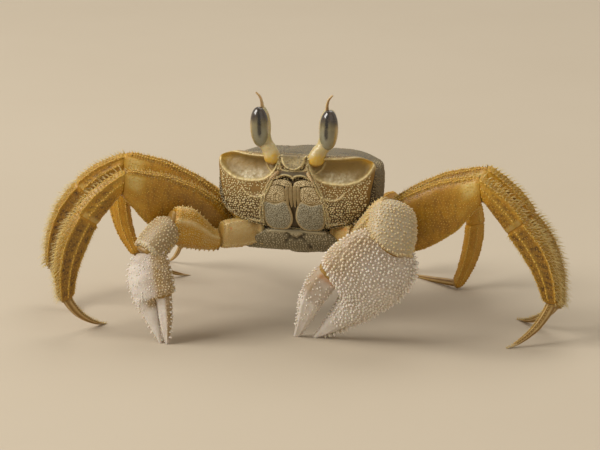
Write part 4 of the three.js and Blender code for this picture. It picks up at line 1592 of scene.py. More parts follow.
def tube(path: Array, radius: Array, columns: int, rows: int, oval: float = 1.0) -> Surface:
    """A round tube along a rounded path.

    Args:
        path: A few points along it.
        radius: Its radius at each of them.
        columns: Points round it.
        rows: Rings along it.
        oval: How much wider it is across than from front to back.

    Returns:
        The tube.
    """
    line = smooth_line(np.column_stack([path, radius]), rows)
    centre, size = line[:, :3], line[:, 3]
    axis = unit(np.gradient(centre, axis=0))
    side = unit(np.cross(np.array([0.0, 1.0, 0.0]), axis))
    up = np.cross(axis, side)
    turn = full_turn(columns)
    ring = side[:, None] * (np.cos(turn) * oval)[None, :, None] + up[:, None] * np.sin(turn)[None, :, None]
    return Surface(centre[:, None] + ring * size[:, None, None])


@dataclass(frozen=True)
class Eyes:
    """The tall eyes: a glassy egg on the front of each stalk, and a curved style above it."""

    cornea: Place = (8.4, -17.0, 51.3)
    lean: float = 0.03
    half_sizes: Place = (2.3, 2.35, 4.85)
    stalk: Table = (
        (4.9, -16.6, 42.8, 0.9), (5.1, -16.9, 43.4, 1.7), (5.5, -16.9, 44.4, 1.85),
        (6.15, -16.6, 45.6, 1.6), (7.05, -16.2, 47.4, 1.45), (7.8, -15.9, 50.4, 1.55),
        (7.9, -15.9, 53.4, 1.4), (7.8, -16.3, 55.8, 0.75),
    )
    style: Table = (
        (7.8, -16.2, 55.6, 0.5), (7.85, -16.45, 56.5, 0.42), (7.95, -16.6, 57.4, 0.36),
        (8.35, -16.7, 58.6, 0.3), (9.3, -16.8, 59.65, 0.2),
    )
    squareness: float = 0.88
    rows: int = 72
    columns: int = 96
    stalk_rows: int = 90
    stalk_columns: int = 56
    cup_rows: int = 60
    cup_columns: int = 72
    style_rows: int = 50
    style_columns: int = 20

    def centre(self, hand: Hand) -> Array:
        """The middle of a side's egg."""
        return np.array([hand.value * self.cornea[0], self.cornea[1], self.cornea[2]])

    @staticmethod
    def rod(table: Table, hand: Hand, columns: int, rows: int, oval: float = 1.0) -> Surface:
        """A side's tube from rows of (x, y, z, radius) on the left side.

        Args:
            table: The rows.
            hand: The side.
            columns: Points round it.
            rows: Rings along it.
            oval: How much wider it is across than from front to back.

        Returns:
            The tube.
        """
        places = np.array(table) * np.array([hand.value, 1, 1, 1])
        return tube(places[:, :3], places[:, 3], columns, rows, oval)

    def glass(self, hand: Hand) -> Surface:
        """The glassy egg, with the dark dome, the dark streak and the amber edges that it shows.

        Args:
            hand: The side.

        Returns:
            Its surface.
        """
        climb = np.linspace(-math.pi / 2, math.pi / 2, self.rows + 2)[1:-1]
        turn = full_turn(self.columns)
        flat = np.cos(climb) ** self.squareness
        x = np.outer(flat, np.cos(turn)) * self.half_sizes[0]
        y = np.outer(flat, np.sin(turn)) * self.half_sizes[1]
        rise = np.sin(climb)
        level = all_round(rise, self.columns)
        z = level * self.half_sizes[2]
        grid = np.stack([x + hand.value * self.lean * z, y, z], -1) + self.centre(hand)
        facing = math.radians(-90 + 4 - 8 * hand.value)
        away = np.arctan2(np.sin(turn - facing), np.cos(turn - facing))
        off = np.repeat(away[None], self.rows, 0)
        dome_edge = 0.42 + 0.12 * np.cos(off * 2)
        frayed = np.clip(1 + 0.7 * lump_noise(grid, 0.42, 25), 0, 1.2)
        tints = {
            "dome": ramp(dome_edge - 0.35, dome_edge + 0.16, level) * 0.95,
            "streak": np.clip(1.5 * hump(off, 0, 0.17) * ramp(-0.52, -0.2, level) * frayed, 0, 1),
            "grey": hump(off, -0.3 * hand.value, 0.8) * ramp(0.3, -0.3, level),
            "amber": ramp(0.75, 1.3, np.abs(off)) * ramp(0.85, 0.4, level) * 0.9,
        }
        return Surface(grid, tints)

    def stem(self, hand: Hand) -> Surface:
        """The stalk behind and below the egg, with a raised lip round the egg's foot.

        Args:
            hand: The side.

        Returns:
            Its surface.
        """
        surface = self.rod(self.stalk, hand, self.stalk_columns, self.stalk_rows, 1.08)
        level = surface.grid[..., 2]
        swirl = 0.05 * lump_noise(surface.grid, 0.9, 23)
        lip = 0.25 * hump(level, 46.6, 0.8)
        ragged = level + 0.9 * lump_noise(surface.grid, 0.8, 47)
        # painted shade where the stalk's foot sinks into its pit
        surface.tints = {"amber": ramp(45.6, 43.9, ragged), "hollow": ramp(43.3, 42.6, level)}
        return surface.raised(swirl + lip)

    def cup(self, hand: Hand) -> Surface:
        """The pale skin that holds the egg along its inner side and foot.

        Args:
            hand: The side.

        Returns:
            Its surface.
        """
        climb = np.linspace(-1.45, 1.15, self.cup_rows)
        turn = full_turn(self.cup_columns)
        swell = all_round(np.cos(climb) ** self.squareness, self.cup_columns)
        reach = np.array(self.half_sizes) * np.array([1.0, 0.92, 1.03])
        x = swell * np.cos(turn) * reach[0] - hand.value * 0.26
        y = swell * np.sin(turn) * reach[1]
        z = all_round(np.sin(climb), self.cup_columns) * reach[2]
        grid = np.stack([x + hand.value * self.lean * z, y + 0.85, z], -1) + self.centre(hand)
        return Surface(grid, {"amber": 0.4 * ramp(47.5, 46.0, grid[..., 2])})

    def horn(self, hand: Hand) -> Surface:
        """The ringed style above the egg, paler along its inner side and tip.

        Args:
            hand: The side.

        Returns:
            Its surface.
        """
        style = self.rod(self.style, hand, self.style_columns, self.style_rows)
        share = all_round(np.linspace(0, 1, self.style_rows), self.style_columns)
        inner = 0 if hand is Hand.RIGHT else math.pi
        pale = ramp(0.0, 0.8, np.cos(full_turn(self.style_columns) - inner))[None] + 0 * share
        style.tints = {"tip": ramp(0.75, 1.0, share), "crest": pale}
        return style.raised(0.03 * np.sin(share * 70))

    def build(self, bench: Bench) -> None:
        """Make both eyes.

        Args:
            bench: Where pieces are made.
        """
        for hand in Hand:
            side = hand.label
            bench.attach(f"eye_{side}_glass", self.glass(hand).shell(), CORNEA, f"eye_{side}")
            stalk = Shell.joined([self.stem(hand).shell(), self.cup(hand).shell()])
            bench.attach(f"eyestalk_{side}_skin", stalk, STALK, f"eyestalk_{side}")
            bench.attach(f"style_{side}_horn", self.horn(hand).shell(), STYLE, f"style_{side}")


@dataclass(frozen=True)
class Feelers:
    """The short feelers beside the rostrum, in jointed rings."""

    body: BodyFrame = BodyFrame()
    line: tuple[Place, ...] = ((3.7, -18.2, 6.6), (4.0, -19.0, 6.3), (4.8, -19.9, 5.4), (5.3, -20.2, 4.5))
    radii: tuple[float, ...] = (0.5, 0.42, 0.32, 0.2)
    segments: int = 9
    rows: int = 90
    columns: int = 18

    def build(self, bench: Bench) -> None:
        """Make both feelers.

        Args:
            bench: Where pieces are made.
        """
        for hand in Hand:
            line = np.array(self.line)
            path = self.body.world(hand.value * line[:, 0], line[:, 1], line[:, 2])
            feeler = tube(path, np.array(self.radii), self.columns, self.rows)
            share = np.linspace(0, 1, self.rows)
            pinch = -0.07 * np.abs(np.cos(share * self.segments * math.pi)) ** 6
            feeler.tints = {"crest": all_round(ramp(-0.05, 0.0, pinch) * 0.5, self.columns)}
            feeler = feeler.raised(all_round(pinch, self.columns))
            bench.attach(f"antenna_{hand.label}_rings", feeler.shell(), STYLE, f"antenna_{hand.label}")


# ---------------------------------------------------------------- limbs


@dataclass(frozen=True)
class Ridge:
    """A raised edge along a limb: its angle from the front in degrees, its height and its half width."""

    angle: float
    height: float
    width: float = 9.0


@dataclass(frozen=True)
class Band:
    """A patch of one of a finish's values on a limb, between two angles from the front and two shares."""

    value: str
    angles: tuple[float, float]
    shares: tuple[float, float] = (-0.1, 1.1)
    strength: float = 1.0
    soft: float = 12.0
    fade: float = 0.04

    @staticmethod
    def window(values: Array, ends: tuple[float, float], soft: float) -> Array:
        """1 between two ends and 0 outside them, with soft edges."""
        low, high = ends
        return ramp(low - soft, low + soft, values) * ramp(high + soft, high - soft, values)

    def mask(self, share: Array, angle: Array) -> Array:
        """How strong the patch is at shares and angles of the limb."""
        across = self.window(angle, self.angles, self.soft)
        return across * self.window(share, self.shares, self.fade) * self.strength


@dataclass(frozen=True)
class Plane:
    """A plane on which a limb joint ends."""

    point: Array
    normal: Array


@dataclass(frozen=True)
class Limb:
    """One joint of a limb: a bowed oval tube with ridges, cut on the planes of its two ends."""

    start: Array
    end: Array
    up: Array
    sections: Table
    front: Hand
    first: Plane | None = None
    last: Plane | None = None
    bow: float = 0.0
    ridges: tuple[Ridge, ...] = ()
    bands: tuple[Band, ...] = ()
    rows: int = 140
    columns: int = LIMB_COLUMNS
    power: float = 2.4
    pits: float = 0.0
    rim: float = 0.12
    spine: Table = ((0.0, 0.0), (1.0, 0.0))
    blend: float = 2.0

    @property
    def length(self) -> float:
        """Distance between its ends."""
        return float(np.linalg.norm(self.end - self.start))

    def shares(self) -> Array:
        """Its rows as shares of its length, as a column."""
        return np.linspace(self.sections[0][0], self.sections[-1][0], self.rows)[:, None]

    def angles(self) -> Array:
        """Its columns as angles from its front in degrees, as a row.

        Returns:
            The angles.
        """
        turn = np.linspace(0, 360, self.columns, endpoint=False)
        turn = turn if self.front is Hand.LEFT else 180 - turn
        return wrapped(turn)[None]

    def column(self, angle: float) -> float:
        """The column at an angle from the front."""
        turn = angle if self.front is Hand.LEFT else 180 - angle
        return (turn % 360) / 360 * self.columns

    def masks(self, share: Array, angle: Array) -> dict[str, Array]:
        """Values that its bands give the finish.

        Args:
            share: Shares of its length.
            angle: Angles from its front.

        Returns:
            The values by name.
        """
        found: dict[str, Array] = {}
        for band in self.bands:
            mask = band.mask(share, angle)
            found[band.value] = np.maximum(found.get(band.value, np.zeros_like(mask)), mask)
        return found

    def surface(self) -> Surface:
        """Its skin, with its ridges, pits and end rims.

        Returns:
            Its surface.
        """
        share, angle = self.shares(), self.angles()
        size = follow(self.sections, share[:, 0])
        axis = unit(self.end - self.start)
        rise = unit(self.up - axis * (self.up @ axis))
        side = np.cross(axis, rise)
        turn = full_turn(self.columns)
        across = soft_power(np.cos(turn), 2 / self.power) * size[:, 1:] / 2
        climb = soft_power(np.sin(turn), 2 / self.power) * size[:, :1] / 2
        climb = climb + self.bow * 4 * share * (1 - share)
        climb = climb + follow(self.spine, share[:, 0])[:, None]
        grid = (self.start + (self.end - self.start) * share[..., None]
                + side * across[..., None] + rise * climb[..., None])
        inner = np.clip(share, 0, 1)
        for plane, row, weight in ((self.first, 0, 1 - inner), (self.last, -1, inner)):
            if plane is not None:
                gap = (plane.point - grid[row]) @ plane.normal / (axis @ plane.normal)
                grid = grid + axis * (weight**self.blend * gap)[..., None]
        crest = np.zeros((self.rows, self.columns))
        height = np.zeros_like(crest)
        body = ramp(0.0, 0.07, inner) * ramp(1.0, 0.93, inner)
        for ridge in self.ridges:
            near = hump(wrapped(angle - ridge.angle), 0.0, ridge.width) * body
            height = np.maximum(height, near * ridge.height)
            crest = np.maximum(crest, near)
        reach = (inner - 0.5) * self.length
        end = self.length / 2 - np.abs(reach)
        height = height + self.rim * (hump(end, 1.0, 0.5) - 0.6 * hump(end, 0.0, 0.35))
        tints = self.masks(share, angle)
        if self.pits:
            streak = self.streaks(reach, np.radians(angle) * np.mean(size[:, 1]) / 2)
            band = tints.get("pit", np.zeros_like(streak))
            height = height - self.pits * streak * band
            tints["pit"] = (0.3 + 0.7 * streak) * band
        height = height + 0.06 * lump_noise(grid, 1.6, 29)
        uneven = 0.75 + 0.25 * lump_noise(grid, 0.5, 31)
        tints["crest"] = np.maximum(crest * uneven, tints.get("crest", 0 * crest))
        # painted shade at both ends of the joint, where it meets its neighbours
        tints["hollow"] = np.maximum(0.3 * hump(end, 0.0, 0.25), tints.get("hollow", 0 * crest))
        return Surface(grid, tints).raised(height)

    @staticmethod
    def streaks(along: Array, around: Array) -> Array:
        """Short slanting pits, given the distances along and around the limb.

        Args:
            along: Distances along it.
            around: Distances around it.

        Returns:
            How deep each place is, up to 1.
        """
        along, around = np.broadcast_arrays(along, around)
        lean, over = along * 0.8 + around * 0.6, around * 0.8 - along * 0.6
        slits = ramp(0.12, 0.5, flat_noise(lean / 1.5, over / 0.42, 1.0, 37))
        blots = ramp(0.3, 0.6, flat_noise(along, around, 0.7, 41))
        return np.maximum(slits, 0.8 * blots)

    def ridge_spots(self, surface: Surface, spacing: float, rng: np.random.Generator, cell: Cell,
                    angles: tuple[float, ...], span: tuple[float, float] = (0.04, 0.96)) -> Spots:
        """Rows of places along some angles of the limb.

        Args:
            surface: The limb's skin.
            spacing: Distance between neighbours in a row.
            rng: Source of their unevenness.
            cell: The limb's rectangle on the coat's map.
            angles: Angle of each row from the front.
            span: Shares of the length between which they lie.

        Returns:
            The places.
        """
        count = max(2, int(self.length * (span[1] - span[0]) / spacing))
        normals = surface.normals()
        groups = []
        for angle in angles:
            share = np.linspace(*span, count) + rng.uniform(-0.2, 0.2, count) / count * (span[1] - span[0])
            low, high = self.sections[0][0], self.sections[-1][0]
            row = np.clip((share - low) / (high - low), 0, 1) * (self.rows - 1.01)
            column = (self.column(angle) + rng.normal(0, 0.25, count)) % self.columns
            groups.append(spots_at(surface, normals, row, column, cell))
        return Spots.gathered(groups)


def socketed(surface: Surface, depth: float = 0.5, share: float = 0.78) -> Surface:
    """A surface whose two ends are turned in like sockets.

    Args:
        surface: The surface.
        depth: How far the ends are turned in.
        share: Size of the inner rings, in sizes of the end rings.

    Returns:
        The surface with a ring more at each end.
    """
    rings = []
    for end, inner in ((0, 1), (-1, -2)):
        middle = surface.grid[end].mean(0)
        inward = unit(surface.grid[inner].mean(0) - middle)
        rings.append(middle + (surface.grid[end] - middle) * share + inward * depth)
    grid = np.concatenate([rings[0][None], surface.grid, rings[1][None]])
    tints = {name: np.vstack([value[:1], value, value[-1:]]) for name, value in surface.tints.items()}
    return Surface(grid, tints)


def collar(ring: Array, other: Array, shrink: float = 0.86, rows: int = 14) -> Surface:
    """The folded skin between two limb joints, with painted shade along the middle of its fold.

    Args:
        ring: The last ring of the one.
        other: The first ring of the other.
        shrink: Its size beside theirs.
        rows: Rings along it.

    Returns:
        The skin.
    """
    rolls = [np.sum((ring - np.roll(other, roll, axis=0)) ** 2) for roll in range(len(ring))]
    other = np.roll(other, int(np.argmin(rolls)), axis=0)
    step = other.mean(0) - ring.mean(0)
    reach = unit(step) * 0.6
    share = np.linspace(0, 1, rows)[:, None, None]
    grid = (ring - reach) * (1 - share) + (other + reach) * share
    middle = grid.mean(1, keepdims=True)
    fold = shrink + 0.03 * np.cos(share * 4 * math.pi)
    grid = middle + (grid - middle) * fold
    hollow = ramp(0.3, 0.0, np.abs(share[:, 0, 0] - 0.5))
    return Surface(grid, {"hollow": all_round(hollow, len(ring)) * 0.3})


def swelled(table: Table, height: float, thickness: float) -> Table:
    """A limb's sections from shares of its height and thickness."""
    return tuple((place, high * height, thick * thickness) for place, high, thick in table)


def sized(groups: list[tuple[Spots, float]]) -> tuple[Spots, Array]:
    """Several groups of places as one, with the size that each group gives its places."""
    spots = Spots.gathered([group for group, _ in groups])
    return spots, np.concatenate([np.full(len(group.points), size) for group, size in groups])


@dataclass(frozen=True)
class LegJoint:
    """What one joint of every walking leg looks like."""

    name: str
    sections: Table
    bow: float
    rows: int
    ridges: tuple[Ridge, ...]
    bands: tuple[Band, ...] = ()
    pits: float = 0.0
    scatter: float = 0.85
    fringes: tuple[tuple[float, float], ...] = ()
    spine: Table = ((0.0, 0.0), (1.0, 0.0))


ALL_ROUND = (-180.0, 180.0)
LEG_JOINTS = (
    LegJoint(
        "merus",
        sections=((0.0, 5.0, 4.2), (0.13, 6.4, 4.3), (0.3, 11.4, 4.7), (0.5, 13.4, 4.8), (0.7, 12.4, 4.6),
                  (0.88, 8.4, 4.1), (1.0, 5.6, 3.6)),
        bow=0.0, rows=170,
        ridges=(Ridge(90, 0.5, 8), Ridge(74, 0.4, 5), Ridge(-72, 0.35, 7), Ridge(-104, 0.35, 7),
                Ridge(122, 0.3, 6)),
        bands=(Band("dusk", (-38, 46), (0.0, 0.7), 0.52, 18, 0.24),
               Band("dusk", (-180, -120), (0.0, 0.9), 0.5),
               Band("dusk", (66, 120), (0.0, 0.85), 0.4, 12, 0.2),
               Band("pale", (-10, 62), (0.84, 1.1), 0.55, 10, 0.08),
               # pale knee patch, partly a painted highlight
               Band("cream", (0, 50), (0.88, 0.97), 0.6, 8, 0.03),
               Band("pale", (-60, -20), (0.8, 1.1), 0.35),
               Band("pit", ALL_ROUND, (0.05, 0.92), 0.3), Band("pit", (60, 125), (0.05, 0.95), 0.55)),
        pits=0.05, scatter=0.8, fringes=((90, 0.8), (62, 0.5)),
        spine=((0.0, 0.0), (0.3, -0.4), (0.5, -0.3), (0.7, 0.0), (0.88, 0.5), (1.0, 0.7)),
    ),
    LegJoint(
        "carpus",
        sections=((0.0, 3.9, 3.4), (0.25, 5.0, 3.9), (0.6, 6.0, 4.3), (1.0, 5.8, 4.0)),
        bow=0.8, rows=76,
        ridges=(Ridge(88, 0.35, 8), Ridge(44, 0.4, 6), Ridge(4, 0.25, 8), Ridge(135, 0.3, 8),
                Ridge(175, 0.2, 8)),
        bands=(Band("dusk", (-60, 20), (0.3, 1.1), 0.35, 18, 0.2), Band("pale", (36, 90), (0.0, 1.1), 0.3),
               # pale wrist patch, partly a painted highlight
               Band("cream", (-70, 30), (0.9, 1.1), 0.4, 10),
               Band("pale", (20, 120), (-0.1, 0.22), 0.6, 14, 0.08),
               Band("pit", (-60, 30), (0.25, 0.95), 0.6), Band("pit", (30, 140), (0.1, 0.95), 0.45)),
        pits=0.06, scatter=0.8, fringes=((88, 1.3), (100, 1.2), (70, 1.1), (48, 0.9)),
        spine=((0.0, 0.75), (0.5, 0.2), (1.0, 0.0)),
    ),
    LegJoint(
        "propodus",
        sections=((0.0, 5.6, 3.7), (0.3, 6.3, 3.9), (0.65, 5.2, 3.5), (1.0, 2.9, 2.3)),
        bow=1.9, rows=130,
        ridges=(Ridge(88, 0.3, 8), Ridge(34, 0.42, 6), Ridge(-12, 0.2, 6), Ridge(-62, 0.35, 8),
                Ridge(140, 0.35, 7), Ridge(190, 0.2, 8), Ridge(240, 0.3, 8)),
        bands=(Band("dusk", (-60, 26), (0.05, 0.98), 0.55, 12), Band("pale", (42, 96), (0.0, 1.1), 0.35),
               Band("dusk", ALL_ROUND, (0.9, 1.1), 0.5), Band("pit", (-70, 28), (0.04, 0.97), 0.75, 8),
               Band("pit", (40, 150), (0.04, 0.97), 0.5)),
        pits=0.07, scatter=0.75,
        fringes=((88, 1.7), (104, 1.6), (74, 1.5), (58, 1.2), (120, 1.3), (38, 0.9), (-64, 0.7)),
    ),
    LegJoint(
        "dactyl",
        sections=((0.0, 2.1, 1.8), (0.3, 1.9, 1.6), (0.7, 1.3, 1.1), (1.0, 0.6, 0.6)),
        bow=-1.6, rows=76,
        ridges=tuple(Ridge(angle, 0.1, 10) for angle in (0, 60, 120, 180, 240, 300)),
        # painted shade in the grooves along the toe and at its root
        bands=(Band("tip", ALL_ROUND, (0.86, 1.1), 1.0), Band("hollow", (20, 50), (0.05, 0.85), 0.8, 8),
               Band("hollow", (-50, -20), (0.05, 0.85), 0.6, 8),
               Band("hollow", ALL_ROUND, (-0.1, 0.06), 0.8)),
        pits=0.0, scatter=0.0, fringes=((90, 0.5), (30, 0.4), (150, 0.4)),
    ),
)


@dataclass(frozen=True)
class WalkingLeg:
    """One walking leg, from its hip in the breastplate's edge to its toe on the floor."""

    hand: Hand
    number: int
    hip: Place
    lengths: tuple[float, float, float, float]
    girth: float
    heading: float
    rises: Place
    toe: float
    gap: float = -0.1
    leans: Place = (2.0, 1.0, 1.0)
    coxa: Place = (3.4, 4.4, 3.2)
    full_bow_height: float = 6.0  # below this height of the ankle, the toe is less bowed
    edge_spacing: float = 0.62
    edge_grain: float = 0.24
    loose_grain: float = 0.13
    hair_spacing: float = 0.66
    hair_radius: float = 0.07
    hair_length: float = 1.2

    def ways(self) -> tuple[Array, Array]:
        """Two level directions: outward along the leg, and across it.

        Returns:
            The two directions.
        """
        turn = math.radians(self.heading)
        forth, aside = math.cos(turn), math.sin(turn)
        return np.array([forth, aside, 0.0]), np.array([-aside, forth, 0.0])

    def corners(self) -> Array:
        """The hip, the knee, the wrist, the ankle and the toe.

        Returns:
            The five places.
        """
        outward, _ = self.ways()
        places = [np.array(self.hip) * np.array([self.hand.value, 1, 1])]
        for length, rise in zip(self.lengths, self.rises):
            tilt = math.radians(rise)
            places.append(places[-1] + length * (outward * math.cos(tilt) + VERTICAL * math.sin(tilt)))
        ankle = places[-1]
        run = math.sqrt(self.lengths[3] ** 2 - ankle[2] ** 2)
        toe = math.radians(self.toe)
        places.append(ankle + np.array([run * math.cos(toe), run * math.sin(toe), -ankle[2]]))
        return np.array(places)

    def limbs(self) -> list[Limb]:
        """Its four joints.

        Returns:
            The joints from the body outward.
        """
        corners = self.corners()
        directions = unit(np.diff(corners, axis=0))
        _, level = self.ways()
        normals = [unit(before * lean + after)
                   for before, after, lean in zip(directions, directions[1:], self.leans)]
        limbs = []
        for index, joint in enumerate(LEG_JOINTS):
            toe = index == 3
            first, last = None, Plane(corners[4], VERTICAL)
            if index:
                first = Plane(corners[index] + normals[index - 1] * self.gap / 2, normals[index - 1])
            if not toe:
                last = Plane(corners[index + 1] - normals[index] * self.gap / 2, normals[index])
            bow = joint.bow * self.girth
            if toe:
                bow = bow * min(1.0, (corners[3][2] / self.full_bow_height) ** 2)
            ridges, bands, rows, pits = joint.ridges, joint.bands, joint.rows, joint.pits
            if self.is_smooth():
                ridges = tuple(replace(ridge, height=ridge.height * 0.4) for ridge in ridges)
                bands = tuple(band for band in bands if band.value not in ("pit", "dusk", "cream"))
                rows, pits = rows * 5 // 8, 0.0
            limbs.append(Limb(
                corners[index], corners[index + 1],
                up=VERTICAL if toe else -np.cross(level, directions[index]),
                sections=swelled(joint.sections, self.girth, self.girth),
                front=Hand(-self.hand.value) if toe and self.is_tucked() else self.hand,
                first=first, last=last, bow=bow, ridges=ridges, bands=bands, rows=rows, pits=pits,
                rim=0.0 if toe else 0.07, spine=joint.spine,
            ))
        return limbs

    def is_smooth(self) -> bool:
        """Whether the leg is one of the hind ones, which have no pits and hardly any bristles."""
        return self.number > 2

    def is_tucked(self) -> bool:
        """Whether the toe points back under the body."""
        return math.cos(math.radians(self.toe - self.heading)) < 0

    def hip_skin(self, merus: Surface) -> list[Surface]:
        """The two short joints between the breastplate and the merus.

        Args:
            merus: The merus's skin.

        Returns:
            Their skins.
        """
        outward, level = self.ways()
        hip = self.corners()[0]
        length, height, thickness = self.coxa
        angle = full_turn(LIMB_COLUMNS)
        across = -level * (np.cos(angle) * thickness * self.girth / 2)[:, None]
        climb = VERTICAL * (np.sin(angle) * height * self.girth / 2)[:, None]
        root = hip - outward * length + across + climb
        seat = merus.grid[int(0.13 * len(merus.grid))]
        found = []
        for low, high, swell in ((0.0, 0.52, 0.12), (0.5, 1.0, 0.1)):
            share = np.linspace(low, high, 26)[:, None, None]
            grid = root * (1 - share) + seat * share
            middle = grid.mean(1, keepdims=True)
            inner = (share - low) / (high - low)
            grid = middle + (grid - middle) * (0.96 + swell * np.sin(inner * math.pi) ** 0.6)
            flat = all_round(inner[:, 0, 0], LIMB_COLUMNS)
            found.append(Surface(grid, {"pale": 0.8 * hump(flat, 0.6, 0.4), "dusk": hump(flat, 0.0, 0.15)}))
        return found

    def build(self, bench: Bench) -> None:
        """Make the leg's skins, granules and bristles.

        Args:
            bench: Where pieces are made.
        """
        name = f"leg_{self.hand.label}_{self.number}"
        rng = np.random.default_rng(SEED + 10 * self.number + self.hand.value)
        limbs = self.limbs()
        skins = [limb.surface() for limb in limbs]
        grains, bristles = [], []
        for index, (joint, limb, skin) in enumerate(zip(LEG_JOINTS, limbs, skins)):
            finish = TOE if joint.name == "dactyl" else LEG
            bench.attach(f"{name}_{joint.name}_skin", socketed(skin).shell(), finish, f"{name}_{joint.name}")
            cell = Cell(index % 2, index // 2, 2, 2)
            if joint.scatter:
                angles = tuple(ridge.angle for ridge in joint.ridges)
                edges = limb.ridge_spots(skin, self.edge_spacing, rng, cell, angles)
                loose = spread(skin, joint.scatter, rng, cell, (0.02, 0.98), "dusk")
                grains += [(edges, self.edge_grain), (loose, self.loose_grain)]
            if not self.is_smooth():
                for angle, length in joint.fringes:
                    angles = (angle - 4, angle, angle + 5)
                    hairs = limb.ridge_spots(skin, self.hair_spacing, rng, cell, angles, (0.04, 0.98))
                    bristles.append((hairs, self.hair_length * length * self.girth))
        spots, size = sized(grains)
        size = size * rng.uniform(0.75, 1.25, len(size)) * self.girth**0.5
        lean, stretch = rng.uniform(0.2, 0.8, len(size)), rng.uniform(1.0, 1.9, len(size))
        grown = LOW_GRANULE.grown(spots, size, size * 0.9, lean, stretch)
        bench.attach(f"{name}_granules", grown, LEG_GRAINS)
        if bristles:
            spots, length = sized(bristles)
            length = length * rng.uniform(0.5, 1.15, len(length))
            radius = np.full(len(length), self.hair_radius)
            grown = SETA.grown(spots, radius, length, rng.uniform(0.2, 0.9, len(length)))
            bench.attach(f"{name}_bristles", grown, BRISTLE)
        collars = [collar(one.ring(1.0), other.ring(0.0)) for one, other in zip(skins, skins[1:])]
        bench.attach(f"{name}_joint_skin", Shell.joined([one.shell() for one in collars]), MEMBRANE)
        hips = [socketed(one, 0.3).shell() for one in self.hip_skin(skins[0])]
        bench.attach(f"{name}_hip", Shell.joined(hips), LEG)


# Each pair's hip on the left side, the lengths of its joints, and its girth.
LEG_SIZES = {
    1: ((14.2, -8.6, 21.0), (34.0, 11.5, 20.5, 15.0), 1.0),
    2: ((15.0, -2.6, 21.0), (34.5, 12.0, 22.5, 16.0), 1.0),
    3: ((14.6, 3.8, 20.5), (31.5, 11.5, 16.5, 17.5), 0.86),
    4: ((11.8, 10.0, 19.6), (22.0, 8.0, 10.5, 10.0), 0.66),
}
# Each leg's heading, how steeply its upper joints rise, and where its toe points, in degrees.
LEG_POSES = {
    (Hand.LEFT, 1): (-5.0, (27.0, -41.0, -64.0), 206.0),
    (Hand.LEFT, 2): (-3.0, (28.0, -43.5, -68.0), 136.0),
    (Hand.LEFT, 3): (48.5, (13.0, -66.0, -110.0), 146.0),
    (Hand.LEFT, 4): (78.0, (4.0, -35.0, -100.0), 75.0),
    (Hand.RIGHT, 1): (208.0, (27.0, -39.0, -74.0), 56.0),
    (Hand.RIGHT, 2): (184.0, (26.5, -31.0, -66.0), 319.0),
    (Hand.RIGHT, 3): (164.0, (16.0, -24.0, -107.0), 38.0),
    (Hand.RIGHT, 4): (146.0, (0.0, -29.0, -52.0), 138.0),
}


FLOOR_PLANE = Plane(np.zeros(3), VERTICAL)
TIP_BLEND = 8.0  # how close to a finger's tip it is bent down to the floor


@dataclass(frozen=True)
class HandLook:
    """How the shell of one claw arm is coloured and how coarse its grains are."""

    base: tuple[Band, ...]
    merus: tuple[Band, ...]
    carpus: tuple[Band, ...]
    palm: tuple[Band, ...]
    finger: tuple[Band, ...]
    tubercle: float
    spacing: float
    bare_share: float
    palm_cover: float = 0.3
    spine: float = 0.3


